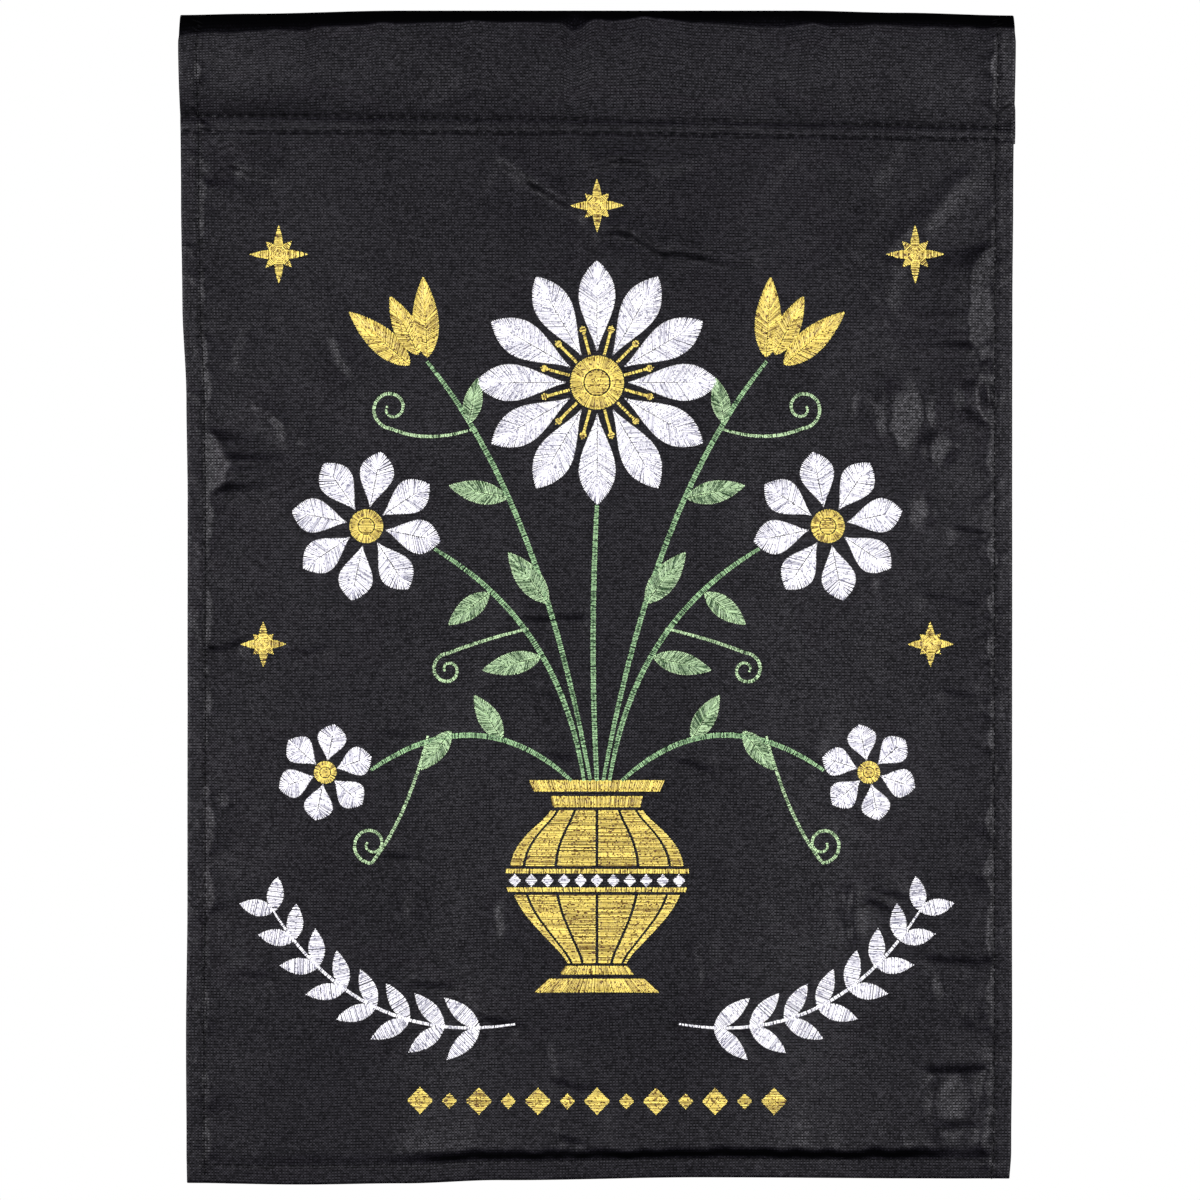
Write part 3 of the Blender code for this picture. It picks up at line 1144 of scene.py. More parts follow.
@dataclass
class FlagCloth:
    """Both sheets of the flag's cloth: the hemmed panel and the pole sleeve."""

    form: ClothForm
    # steps of the grid: between the columns, between the panel's rows, between the sleeve's
    fine: float = 1.0 * MM
    coarse: float = 1.5 * MM
    down: float = 1.4 * MM
    sleeve_fine: float = 0.42 * MM
    sleeve_coarse: float = 1.15 * MM
    roll_rows: int = 23
    # how far from the edges the steps widen: at the sides, at the panel's top and foot
    side_margin: float = 34 * MM
    panel_margins: tuple[float, float] = (14 * MM, 24 * MM)
    sleeve_margins: tuple[float, float] = (22 * MM, 3 * MM)
    turn_radius: float = 0.22 * MM
    turn_in: float = 5.0 * MM
    roll_power: float = 1.22
    back_stand: float = 0.9 * MM
    flap_overhang: float = 0.7 * MM
    sleeve_cut: float = 112 * MM
    field_inset: float = field(init=False)
    # of every column: side (-1, 0 or 1), inset in its hem or share of the field, depth
    # behind the front, place on the flat cloth, and x where the two sheets meet
    side: Array = field(init=False)
    place: Array = field(init=False)
    depth: Array = field(init=False)
    flat_x: Array = field(init=False)
    seam_x: Array = field(init=False)

    def __post_init__(self) -> None:
        """Lay out the columns that both sheets share."""
        inset, depth, _ = TurnedEdge(self.form.side_hem).section()
        self.field_inset = inset[-1]
        edge = self.form.width / 2
        reach = run_along(np.stack([inset, depth], axis=1))
        flat = reach - reach[-1] + self.field_inset - edge
        span = edge - self.field_inset
        margins = (self.side_margin, self.side_margin)
        field_flat = odd(graded(-span, span, self.fine, self.coarse, margins))[1:-1]
        shares = (field_flat + span) / (2 * span)
        self.side = np.concatenate([-np.ones(len(inset)), shares * 0, np.ones(len(inset))])
        self.place = np.concatenate([inset, shares, inset[::-1]])
        self.depth = np.concatenate([depth, shares * 0, depth[::-1]])
        self.flat_x = np.concatenate([flat, field_flat, -flat[::-1]])
        self.seam_x = self.across(np.full(self.side.shape, LOWER_SEAM[0]))

    def across(self, z: Array) -> Array:
        """Return x of the columns at heights z.

        Args:
            z: Heights.

        Returns:
            The places across.
        """
        left, right = self.form.edge(z, -1), self.form.edge(z, 1)
        inner_left, inner_right = left + self.field_inset, right - self.field_inset
        in_hem = np.where(self.side < 0, left + self.place, right - self.place)
        in_field = inner_left + self.place * (inner_right - inner_left)
        return np.where(self.side == 0, in_field, in_hem)

    def corner(self, x: Array, z: Array) -> Array:
        """Return 1 over a side hem and 0 well inside it.

        Args:
            x: Places across.
            z: Heights.

        Returns:
            The share.
        """
        reach = np.minimum(x - self.form.edge(z, -1), self.form.edge(z, 1) - x)
        hem = self.form.side_hem + 1.5 * MM
        return 1 - eased((reach - hem) / (9 * MM))

    def panel(self) -> Piece:
        """Build the panel: field, side hems and bottom hem, all one sheet.

        Returns:
            The panel.
        """
        form = self.form
        inset, row_depth, row_share = TurnedEdge(form.bottom_hem).section()
        inset, row_depth, row_share = inset[::-1], row_depth[::-1], row_share[::-1]
        middle = form.height + form.band_bottom(np.array(0.0))
        tall = middle - inset[0]
        downs = odd(graded(0.0, tall, self.fine, self.down, self.panel_margins))[:-1] / tall
        top, low = form.band_bottom(self.seam_x), form.bottom(self.seam_x)
        field_z = top + (low + inset[0] - top) * downs[:, None]
        z = np.concatenate([field_z, low + inset[:, None]])
        x = self.across(z)
        down_depth = np.concatenate([downs * 0, row_depth])[:, None]
        fold = np.concatenate([downs * 0, row_share])[:, None]
        stack = self.depth * (1 - 2 * fold) + 2 * TurnedEdge.layer * self.corner(x, z) * fold
        y = down_depth + stack - form.relief(x, z)
        hem_flat = run_along(np.stack([inset, row_depth], axis=1))
        down_flat = np.concatenate([downs * (middle - inset[0]), middle - inset[0] + hem_flat])
        flat_z = form.band_bottom(np.array(0.0)) - down_flat
        points = np.stack([x, y, z], axis=-1)
        return sheet_object("flag_cloth", points, self.flat_x, flat_z, form)

    def sleeve(self) -> Piece:
        """Build the sleeve: front layer, roll over the pole, back layer and turned edge.

        Returns:
            The sleeve.
        """
        form = self.form
        start, centre = form.band_bottom(self.seam_x), form.roll_centre(self.seam_x)
        tall = float(centre.mean() - start.mean())
        steps = (self.sleeve_fine, self.sleeve_coarse)
        front_rows = graded(0.0, tall, *steps, self.sleeve_margins)[:-1] / tall
        roll_rows = np.linspace(0.0, math.pi, self.roll_rows)
        back_rows = np.linspace(1.0, 0.0, int(tall / self.coarse))[1:]
        rows: list[Array] = []
        flats: list[float] = []
        radius = form.channel(self.seam_x)
        for share in front_rows:
            z = start + (centre - start) * share
            x = self.across(z)
            y = -form.bulge(x, z) - form.relief(x, z)
            rows.append(np.stack([x, y + self.depth, z], axis=-1))
            flats.append(float(start.mean()) + tall * share)
        edge_relief = form.relief(self.seam_x, centre)
        for angle in roll_rows:
            power = 2 / self.roll_power if angle < math.pi / 2 else 1.0
            forward = math.copysign(abs(math.cos(angle)) ** power, math.cos(angle))
            y = -(radius - self.depth) * forward - edge_relief * max(math.cos(angle), 0.0) ** 2
            z = centre + (form.shoulder(self.seam_x) - self.depth) * math.sin(angle) ** power
            rows.append(np.stack([self.across(centre), y, z], axis=-1))
            flats.append(float(centre.mean()) + float(radius.mean()) * angle)
        turned = float(centre.mean()) + float(radius.mean()) * math.pi
        for share in back_rows:
            rows.append(self.back_row(share))
            flats.append(turned + tall * (1 - share))
        for angle in np.radians([30, 60, 90, 120, 150, 180]):
            rows.append(self.turned_row(float(angle), 0.0))
            flats.append(turned + tall + 0.2 * MM * float(angle))
        for reach in (1.5 * MM, 3.2 * MM, self.turn_in):
            rows.append(self.turned_row(math.pi, reach))
            flats.append(turned + tall + 0.7 * MM + reach)
        if len(rows) % 2 == 0:
            del rows[-2], flats[-2]
        points, flat_z = np.stack(rows)[::-1], np.array(flats)[::-1]
        return sheet_object("sleeve_cloth", points, self.flat_x, flat_z, form)

    def back_row(self, share: float) -> Array:
        """Return one row of points of the sleeve's back layer.

        Args:
            share: 0 at the seam, 1 where the roll starts.

        Returns:
            The points of the row.
        """
        form = self.form
        start, centre = form.band_bottom(self.seam_x), form.roll_centre(self.seam_x)
        z = start + (centre - start) * share
        overhang = self.flap_overhang * eased(np.array((0.45 - share) * 6))
        x = self.across(z) + np.where(self.side > 0, overhang, 0.0)
        stand = self.back_stand + 2 * TurnedEdge.layer * self.corner(x, z)
        y = form.bulge(x, z) + stand * (1 - share) ** 2 - self.depth
        return np.stack([x, y - form.relief(x, z) * (1 - share), z], axis=-1)

    def turned_row(self, angle: float, reach: float) -> Array:
        """Return one row of the raw edge that is turned in under the back layer.

        Args:
            angle: How far the edge has turned.
            reach: How far it runs up again.

        Returns:
            The points of the row.
        """
        low = self.back_row(0.0)
        low[:, 1] -= self.turn_radius * (1 - math.cos(angle))
        low[:, 2] += reach - self.turn_radius * math.sin(angle)
        return low


# ---- stitches


@dataclass
class StitchRun:
    """Stitches of one thread: where each starts and ends, its way out, width and height."""

    batches: list[tuple[Array, ...]] = field(default_factory=list)

    def add(
        self, start: Array, end: Array, out: Array, width: Array, loft: Array, shade: Array
    ) -> None:
        """Add a batch of stitches, one row of each array to a stitch."""
        self.batches.append((start, end, out, width, loft, shade))

    def count(self) -> int:
        """Return how many stitches there are."""
        return sum(len(batch[0]) for batch in self.batches)

    def cloud(self, name: str) -> Piece:
        """Return an object of loose points that carry the stitches' attributes.

        Args:
            name: The object's name.

        Returns:
            The object.
        """
        start, end, out, width, loft, shade = map(np.concatenate, zip(*self.batches))
        mesh = bpy.data.meshes.new(name)
        mesh.from_pydata(start.tolist(), [], [])
        keep_values(mesh, "run", end - start)
        keep_values(mesh, "out", out)
        keep_values(mesh, "reach", np.linalg.norm(end - start, axis=1))
        keep_values(mesh, "gauge", width)
        keep_values(mesh, "loft", loft)
        keep_values(mesh, "shade", shade)
        return new_object(name, mesh)


class StitchTree:
    """Geometry nodes that lay one arched thread at every point of a stitch run.

    Attributes:
        ends: Below 1, it draws the thread's steps together at its ends.
        sink: How deep the ends go into the cloth, in thread thicknesses.
        long_from: Length from which a stitch counts as long.
    """

    ends = 0.4
    sink = 0.45
    long_from = 2.6 * MM

    def __init__(self) -> None:
        """Build the tree once for all runs."""
        self.tree = bpy.data.node_groups.new("lay_stitches", "GeometryNodeTree")
        face = self.tree.interface
        face.new_socket("Geometry", in_out="INPUT", socket_type="NodeSocketGeometry")
        self.inputs = {
            name: face.new_socket(name, in_out="INPUT", socket_type=kind).identifier
            for name, kind in (
                ("Lengths", "NodeSocketInt"),
                ("Short Lengths", "NodeSocketInt"),
                ("Long From", "NodeSocketFloat"),
                ("Sides", "NodeSocketInt"),
                ("Crown", "NodeSocketFloat"),
                ("Sink", "NodeSocketFloat"),
                ("Finish", "NodeSocketMaterial"),
            )
        }
        face.new_socket("Geometry", in_out="OUTPUT", socket_type="NodeSocketGeometry")
        self.book = NodeBook(self.tree)
        self.fill()

    def attribute(self, name: str, kind: str = "FLOAT") -> Any:
        """Return the socket of a named attribute."""
        node = self.book.add("GeometryNodeInputNamedAttribute", {"data_type": kind}, {0: name})
        return node.outputs[0]

    def thread(self, group: Node, lengths: str) -> Any:
        """Add the nodes of one arched thread of unit length.

        Args:
            group: The group's input node.
            lengths: The input that says how many lengths it is divided into.

        Returns:
            The geometry socket of the thread's mesh.
        """
        book = self.book
        line = book.add("GeometryNodeCurvePrimitiveLine", {}, {"End": (1.0, 0.0, 0.0)})
        points = Signal(book, group.outputs[lengths]) + 1.0
        path = book.add("GeometryNodeResampleCurve", {}, {0: line.outputs[0], "Count": points})
        factor = Signal(book, book.add("GeometryNodeSplineParameter").outputs["Factor"])
        kept = self.captured(path.outputs[0], factor)
        sides = {"Resolution": group.outputs["Sides"], "Radius": 0.5}
        ring = book.add("GeometryNodeCurvePrimitiveCircle", {}, sides)
        turn = Signal(book, book.add("GeometryNodeSplineParameter").outputs["Factor"])
        ring_kept = self.captured(ring.outputs[0], turn)
        curves = {"Curve": kept[0], "Profile Curve": ring_kept[0], "Fill Caps": True}
        tube = book.add("GeometryNodeCurveToMesh", {}, curves)
        share = Signal(book, kept[1])
        swing = share * 2.0 - 1.0
        place = swing.size() ** self.ends * swing.maths("SIGN") * 0.5 + 0.5
        arch = 1.0 - swing.size() ** 4.0
        lift = Signal(book, group.outputs["Crown"]) + group.outputs["Sink"]
        offset = book.vector(place - share, 0.0, lift * arch - group.outputs["Sink"])
        moves = {"Geometry": tube.outputs[0], "Offset": offset}
        arched = book.add("GeometryNodeSetPosition", {}, moves)
        named = self.stored(arched.outputs[0], "along", place)
        return self.stored(named, "around", ring_kept[1])

    def captured(self, geometry: Any, value: Signal) -> tuple[Any, Any]:
        """Capture a value on a curve's points; return the curve and the value.

        Args:
            geometry: The curve's socket.
            value: The value to keep.

        Returns:
            The sockets of the curve and of the kept value.
        """
        node = self.book.add("GeometryNodeCaptureAttribute")
        node.capture_items.new("FLOAT", "value")
        self.book.feed(node, {0: geometry, 1: value})
        return node.outputs[0], node.outputs[1]

    def stored(self, geometry: Any, name: str, value: Any) -> Any:
        """Store a value under a name and return the geometry.

        Args:
            geometry: The mesh's socket.
            name: The attribute.
            value: Its value.

        Returns:
            The mesh's socket.
        """
        settings = {"data_type": "FLOAT", "domain": "POINT"}
        inputs = {"Geometry": geometry, "Name": name, "Value": value}
        return self.book.add("GeometryNodeStoreNamedAttribute", settings, inputs).outputs[0]

    def fill(self) -> None:
        """Add every node of the tree."""
        book = self.book
        group = book.add("NodeGroupInput")
        turn = book.add(
            "FunctionNodeAxesToRotation",
            {"primary_axis": "X", "secondary_axis": "Z"},
            {0: self.attribute("run", "FLOAT_VECTOR"), 1: self.attribute("out", "FLOAT_VECTOR")},
        )
        scale = book.vector(*map(self.attribute, ("reach", "gauge", "loft")))
        is_long = Signal(book, self.attribute("reach")).maths("GREATER_THAN", group.outputs["Long From"])
        both = book.add("GeometryNodeJoinGeometry")
        for lengths, chosen in (("Lengths", is_long), ("Short Lengths", 1.0 - is_long)):
            inputs = {
                "Points": group.outputs["Geometry"], "Selection": chosen,
                "Instance": self.thread(group, lengths), "Rotation": turn.outputs[0],
                "Scale": scale,
            }
            laid = book.add("GeometryNodeInstanceOnPoints", {}, inputs)
            book.feed(both, {0: laid.outputs[0]})
        real = book.add("GeometryNodeRealizeInstances", {}, {0: both.outputs[0]})
        smooth = book.add("GeometryNodeSetShadeSmooth", {}, {"Geometry": real.outputs[0]})
        dress = {"Geometry": smooth.outputs[0], "Material": group.outputs["Finish"]}
        dressed = book.add("GeometryNodeSetMaterial", {}, dress)
        book.add("NodeGroupOutput", {}, {0: dressed.outputs[0]})

    def lay(
        self, run: StitchRun, name: str, finish: Material,
        lengths: int = 4, short_lengths: int = 3, sides: int = 4, crown: float = 0.9,
    ) -> Piece:
        """Lay the stitches of a run as one plain mesh.

        Args:
            run: The stitches.
            name: The piece's name.
            finish: The thread's material.
            lengths: Lengths that one long stitch is divided into.
            short_lengths: Lengths that one short stitch is divided into.
            sides: Sides of the thread's section.
            crown: Height of the arch in thread thicknesses.

        Returns:
            The piece.
        """
        piece = run.cloud(name)
        modifier = piece.modifiers.new("stitches", "NODES")
        modifier.node_group = self.tree
        values = (lengths, short_lengths, self.long_from, sides, crown, self.sink, finish)
        for identifier, value in zip(self.inputs.values(), values):
            modifier[identifier] = value
        bake_modifiers(piece)
        for spare in ("run", "out", "gauge", "loft"):
            layer = piece.data.attributes.get(spare)
            if layer:
                piece.data.attributes.remove(layer)
        return piece


class SewnRow(Enum):
    """The rows of machine stitching, each with the side or the seam that it follows."""

    LEFT_HEM = -1
    RIGHT_HEM = 1
    UPPER = UPPER_SEAM
    LOWER = LOWER_SEAM
    BOTTOM_HEM = 0


@dataclass
class SewingStitches:
    """The sewing machine's stitches along the hems and the two rows of the sleeve."""

    form: ClothForm
    cloth: FlagCloth
    pitch: float = SEWING_PITCH
    dash: float = 3.5 * MM
    gauge: float = 0.5 * MM
    stray: float = 0.06 * MM
    # where the side rows start, and how much shorter than the cloth each row is
    side_start: float = 9 * MM
    side_short: float = 11 * MM
    seam_short: float = 1.2 * MM
    bottom_short: float = 8.5 * MM
    seed: int = 5

    def place(self, row: SewnRow, share: Array) -> tuple[Array, Array]:
        """Return x and z at shares of a row's run.

        Args:
            row: The row.
            share: Places from 0 to 1.

        Returns:
            The places across and the heights.
        """
        form = self.form
        if row in (SewnRow.LEFT_HEM, SewnRow.RIGHT_HEM):
            z = -self.side_start - share * (form.height - self.side_short)
            return form.hem_stitch(z, row.value), z
        if row is SewnRow.BOTTOM_HEM:
            x = (2 * share - 1) * (form.width / 2 - self.bottom_short)
            return x, form.bottom_stitch(x)
        x = (2 * share - 1) * (form.width / 2 - self.seam_short)
        return x, form.seam(row.value, x)

    def run(self) -> StitchRun:
        """Return the stitches of every row, on the front and on the back.

        Returns:
            The run of stitches.
        """
        rng = np.random.default_rng(self.seed)
        stitches = StitchRun()
        for row in SewnRow:
            x, z = self.place(row, np.array([0.0, 1.0]))
            length = float(np.hypot(np.diff(x), np.diff(z))[0])
            count = int(length / self.pitch)
            first = (np.arange(count) + rng.normal(0, 0.03, count)) * self.pitch / length
            last = first + self.dash / length
            half = self.pitch / length / 2
            stitches.add(*self.on_one_side(row, first, last, True, rng))
            stitches.add(*self.on_one_side(row, first + half, last + half, False, rng))
        return stitches

    def on_one_side(
        self, row: SewnRow, first: Array, last: Array, front: bool, rng: np.random.Generator
    ) -> tuple[Array, ...]:
        """Return one row's stitches on the front or on the back.

        Args:
            row: The row.
            first: Where each stitch starts, as a share of the row.
            last: Where it ends.
            front: Whether they lie on the front.
            rng: The source of the unevenness.

        Returns:
            Starts, ends, ways out, widths, heights and tones.
        """
        ends = []
        for share in (np.clip(first, 0, 1), np.clip(last, 0, 1)):
            x, z = self.place(row, share)
            x = x + rng.normal(0, self.stray, x.shape)
            y = self.form.front(x, z) if front else self.back_face(x, z, row)
            ends.append(np.stack([x, y, z], axis=-1))
        start, end = ends
        kept = np.linalg.norm(end - start, axis=1) > self.dash / 2
        start, end = start[kept], end[kept]
        facing = self.form.facing(start[:, 0], start[:, 2])
        width = np.ones(len(start)) * self.gauge
        shade = rng.uniform(0.2, 1.0, len(start))
        return start, end, facing if front else -facing, width, width, shade

    def back_face(self, x: Array, z: Array, row: SewnRow) -> Array:
        """Return y of the cloth's back where a row of stitches comes out.

        Args:
            x: Places across the flag.
            z: Heights.
            row: The row.

        Returns:
            The places in y.
        """
        form = self.form
        layer = TurnedEdge.layer
        rest = -form.relief(x, z) + form.thickness / 2
        if row in (SewnRow.LEFT_HEM, SewnRow.RIGHT_HEM):
            return rest + layer - np.where(z > form.band_bottom(x), form.bulge(x, z), 0.0)
        hems = 2 * layer * self.cloth.corner(x, z)
        if row is SewnRow.BOTTOM_HEM:
            return rest + layer + hems
        share = (z - form.band_bottom(x)) / (form.roll_centre(x) - form.band_bottom(x))
        return rest + (self.cloth.back_stand + hems) * (1 - share) ** 2


# ---- embroidery


@dataclass
class SatinColumn:
    """A column of satin stitch: two rails in x and z, between which the thread runs."""

    left: Array
    right: Array


Columns = list[SatinColumn]


def rail(points: Iterable[Spot]) -> Array:
    """Return points as an array of x and z."""
    return np.array(list(points), float)


def turned(points: Array, angle: float) -> Array:
    """Return points turned about the origin, anticlockwise as seen from the front."""
    c, s = math.cos(angle), math.sin(angle)
    return points @ np.array([[c, s], [-s, c]])


def flipped(points: Array) -> Array:
    """Return points mirrored in the flag's centre line."""
    return points * np.array([-1.0, 1.0])


def resampled(points: Array, count: int) -> Array:
    """Return a polyline divided into equal steps."""
    reach = run_along(points)
    return read_along(np.linspace(0.0, reach[-1], count), reach, points)


def bezier(start: Array, middle: Array, end: Array, count: int = 40) -> Array:
    """Return a smooth curve from start to end, drawn towards a middle point.

    Args:
        start: First point.
        middle: The point that the curve is drawn to.
        end: Last point.
        count: Points wanted.

    Returns:
        The points of the curve.
    """
    t = np.linspace(0.0, 1.0, count)[:, None]
    start, middle, end = (np.asarray(p, float) for p in (start, middle, end))
    return (1 - t) ** 2 * start + 2 * t * (1 - t) * middle + t * t * end


def ribbon(path: Array, width: float, taper: float = 0.0) -> SatinColumn:
    """Return a narrow satin column along a path.

    Args:
        path: The column's centre line.
        width: Its width.
        taper: How much narrower its ends are, from 0 to 1.

    Returns:
        The column.
    """
    run = np.gradient(path, axis=0)
    run /= np.maximum(np.linalg.norm(run, axis=1, keepdims=True), 1e-9)
    normal = np.stack([-run[:, 1], run[:, 0]], axis=1)
    t = np.linspace(-1.0, 1.0, len(path))
    half = width / 2 * (1 - taper * t ** 4)
    return SatinColumn(path + normal * half[:, None], path - normal * half[:, None])


def petal_edge(length: float, width: float, fullest: float, count: int = 40) -> Array:
    """Return the right edge of a petal or leaf that stands on the origin.

    Args:
        length: From base to tip.
        width: At its fullest.
        fullest: Share of the length at which it is fullest.
        count: Points on the edge.

    Returns:
        Points from base to tip.
    """
    t = np.linspace(0.0, 1.0, count)
    bend = math.log(0.5) / math.log(fullest)
    half = width / 2 * np.sin(math.pi * t ** bend) ** 0.85 + 0.2 * MM
    return np.stack([half, t * length], axis=1)


def petal(length: float, width: float, fullest: float = 0.6) -> SatinColumn:
    """Return a petal or leaf sewn straight across in one column."""
    right = petal_edge(length, width, fullest)
    return SatinColumn(flipped(right), right)


def split_petal(
    length: float, width: float, fullest: float = 0.6, slant: float = 0.2
) -> Columns:
    """Return a petal or leaf sewn as two halves that slope up from its midrib.

    Args:
        length: From base to tip.
        width: At its fullest.
        fullest: Share of the length at which it is fullest.
        slant: How far the midrib's end stays behind the tip, as a share of the length.

    Returns:
        The left half and the right half.
    """
    right = petal_edge(length, width, fullest)
    rib = np.stack([np.full(len(right), 0.08 * MM), right[:, 1] * (1 - slant)], axis=1)
    return [SatinColumn(flipped(right), flipped(rib)), SatinColumn(rib, right)]


def placed(column: SatinColumn, place: Sequence[float], angle: float) -> SatinColumn:
    """Return a column turned and moved to its place."""
    spot = np.asarray(place, float)
    return SatinColumn(turned(column.left, angle) + spot, turned(column.right, angle) + spot)


def mirrored(columns: Columns) -> Columns:
    """Return the columns and their mirror images."""
    others = [SatinColumn(flipped(c.right), flipped(c.left)) for c in columns]
    return list(columns) + others


@dataclass
class Embroiderer:
    """Fills satin columns with thread on the front, and with its reverse on the back."""

    form: ClothForm
    tree: StitchTree
    rng: np.random.Generator = field(default_factory=np.random.default_rng)
    seed: int = 9
    pitch: float = 0.58 * MM
    gauge: float = 0.55 * MM
    loft: float = 0.42 * MM
    longest: float = 7.4 * MM
    ragged: float = 0.04 * MM
    under_pitch: float = 1.2 * MM
    under_from: float = 3.0 * MM
    under_loft: float = 0.16 * MM
    reverse_pitch: float = 1.05 * MM
    reverse_loft: float = 0.3 * MM
    reverse_stand: float = 0.04 * MM

    def rails(self, column: SatinColumn, pitch: float) -> tuple[Array, Array]:
        """Return both rails divided at the stitch pitch.

        Args:
            column: The satin column.
            pitch: Distance between threads.

        Returns:
            The left rail and the right rail.
        """
        middle = (column.left + column.right) / 2
        lines = ((middle, 1.0), (column.left, 0.85), (column.right, 0.85))
        longer = max(part * float(np.hypot(*np.diff(line, axis=0).T).sum()) for line, part in lines)
        count = max(3, int(longer / pitch) + 1)
        share = np.linspace(0, len(column.left) - 1, 4 * count)
        index = np.arange(len(column.left))
        left, right = (read_along(share, index, side) for side in (column.left, column.right))
        reach = run_along((left + right) / 2)
        place = np.linspace(0.0, reach[-1], count)
        return read_along(place, reach, left), read_along(place, reach, right)

    def on_cloth(self, flat: Array, *behind: float) -> Array:
        """Return points at x and z on the front face, or some distances behind it."""
        y = sum(behind, self.form.front(flat[:, 0], flat[:, 1]))
        return np.stack([flat[:, 0], y, flat[:, 1]], axis=1)

    def top_stitches(self, column: SatinColumn, run: StitchRun) -> None:
        """Add the visible satin stitches of one column, long ones in two or three.

        Args:
            column: The satin column.
            run: Takes the stitches.
        """
        left, right = self.rails(column, self.pitch)
        across = right - left
        length = np.linalg.norm(across, axis=1)
        unit = across / np.maximum(length[:, None], 1e-9)
        count = len(left)
        along = np.gradient((left + right) / 2, axis=0) * self.rng.normal(0, 0.16, count)[:, None]
        left = left + along - unit * self.rng.normal(0.05 * MM, self.ragged, count)[:, None]
        right = right + along + unit * self.rng.normal(0.05 * MM, self.ragged, count)[:, None]
        steps = np.maximum(1, np.ceil(length / self.longest).astype(int))
        steps = np.maximum(steps + self.rng.integers(0, 2, count) * (steps > 1), 1)
        place = self.rng.uniform(-0.5, 0.5, (int(steps.max()) + 1, count))
        tone = self.tones(count)
        for step in range(int(steps.max())):
            on = steps > step
            low = self.split(step, steps, place[step])
            high = self.split(step + 1, steps, place[step + 1])
            start = left + across * low[:, None]
            end = left + across * high[:, None]
            shade = np.clip(tone[on] + self.rng.normal(0, 0.12, int(on.sum())), 0.0, 1.0)
            self.add_front(start[on], end[on], run, self.gauge, self.loft, shade)

    def tones(self, count: int) -> Array:
        """Return a tone for each stitch, in drifting bands with some stray ones.

        Args:
            count: How many stitches.

        Returns:
            The tones, from 0 to 1.
        """
        spots = np.arange(0, count + 8, 4)
        drift = np.interp(np.arange(count), spots, self.rng.normal(0, 1, len(spots)))
        return np.clip(0.62 + 0.13 * drift + 0.22 * self.rng.normal(0, 1, count), 0.0, 1.0)

    @staticmethod
    def split(step: int, steps: Array, place: Array) -> Array:
        """Return the share of a stitch's length at which the needle goes down."""
        share = np.clip((step + place) / steps, 0.0, 1.0)
        return np.where(step >= steps, 1.0, np.where(step == 0, 0.0, share))

    def add_front(
        self, start: Array, end: Array, run: StitchRun, gauge: float, loft: float, shade: Array
    ) -> None:
        """Add stitches between points of the front face.

        Args:
            start: Where each stitch starts, in x and z.
            end: Where it ends.
            run: Takes the stitches.
            gauge: Their width.
            loft: Their height.
            shade: Their tones.
        """
        if not len(start):
            return
        count = len(start)
        middle = (start + end) / 2
        out = self.form.facing(middle[:, 0], middle[:, 1])
        length = np.linalg.norm(end - start, axis=1)
        height = loft * (0.75 + 0.35 * np.clip(length / self.longest, 0, 1))
        height = height * self.rng.uniform(0.70, 1.25, count)
        width = gauge * self.rng.uniform(0.88, 1.06, count)
        run.add(self.on_cloth(start), self.on_cloth(end), out, width, height, shade)

    def under_stitches(self, column: SatinColumn, run: StitchRun) -> None:
        """Add the flat stitches that lie under wide satin and show in its gaps.

        Args:
            column: The satin column.
            run: Takes the stitches.
        """
        left, right = self.rails(column, self.under_pitch)
        wide = np.linalg.norm(right - left, axis=1) > self.under_from
        left, right = left[wide], right[wide]
        inset = (right - left) * 0.07
        # the low tones give the underlay the thread's deep colour: painted shade where it shows in the
        # gaps of the satin
        width, shade = self.under_pitch * 1.15, self.rng.uniform(0.0, 0.15, len(left))
        self.add_front(left + inset, right - inset, run, width, self.under_loft, shade)

    def reverse_stitches(self, column: SatinColumn, run: StitchRun) -> None:
        """Add the flat stitches that show on the cloth's back.

        Args:
            column: The satin column.
            run: Takes the stitches.
        """
        left, right = self.rails(column, self.reverse_pitch)
        count = len(left)
        drift = (right - left) * self.rng.normal(0, 0.03, count)[:, None]
        behind = (self.form.thickness, self.reverse_stand)
        start, end = (self.on_cloth(line, *behind) for line in (left + drift, right - drift))
        middle = (left + right) / 2
        out = -self.form.facing(middle[:, 0], middle[:, 1])
        ones = np.ones(count)
        width, loft = ones * self.reverse_pitch * 1.1, ones * self.reverse_loft
        run.add(start, end, out, width, loft, self.rng.uniform(0.1, 0.8, count))

    def stitch(self, name: str, thread: Thread, columns: Columns) -> list[Piece]:
        """Embroider columns as one piece on the front and one on the back.

        Args:
            name: The motif's name.
            thread: The thread.
            columns: The satin columns.

        Returns:
            The front piece and the back piece.
        """
        self.rng = np.random.default_rng(self.seed + len(name) * 31 + len(columns))
        under, top, reverse = StitchRun(), StitchRun(), StitchRun()
        for column in columns:
            self.under_stitches(column, under)
            self.top_stitches(column, top)
            self.reverse_stitches(column, reverse)
        finish = thread.material()
        front = self.tree.lay(top, name, finish)
        back = self.tree.lay(reverse, f"{name}_reverse", finish, 2, 2, 3, 0.6)
        pieces = [front, back]
        if under.count():
            pieces.append(self.tree.lay(under, f"{name}_underlay", finish, 3, 3, 3))
        for piece in pieces:
            thread.slot
        return pieces


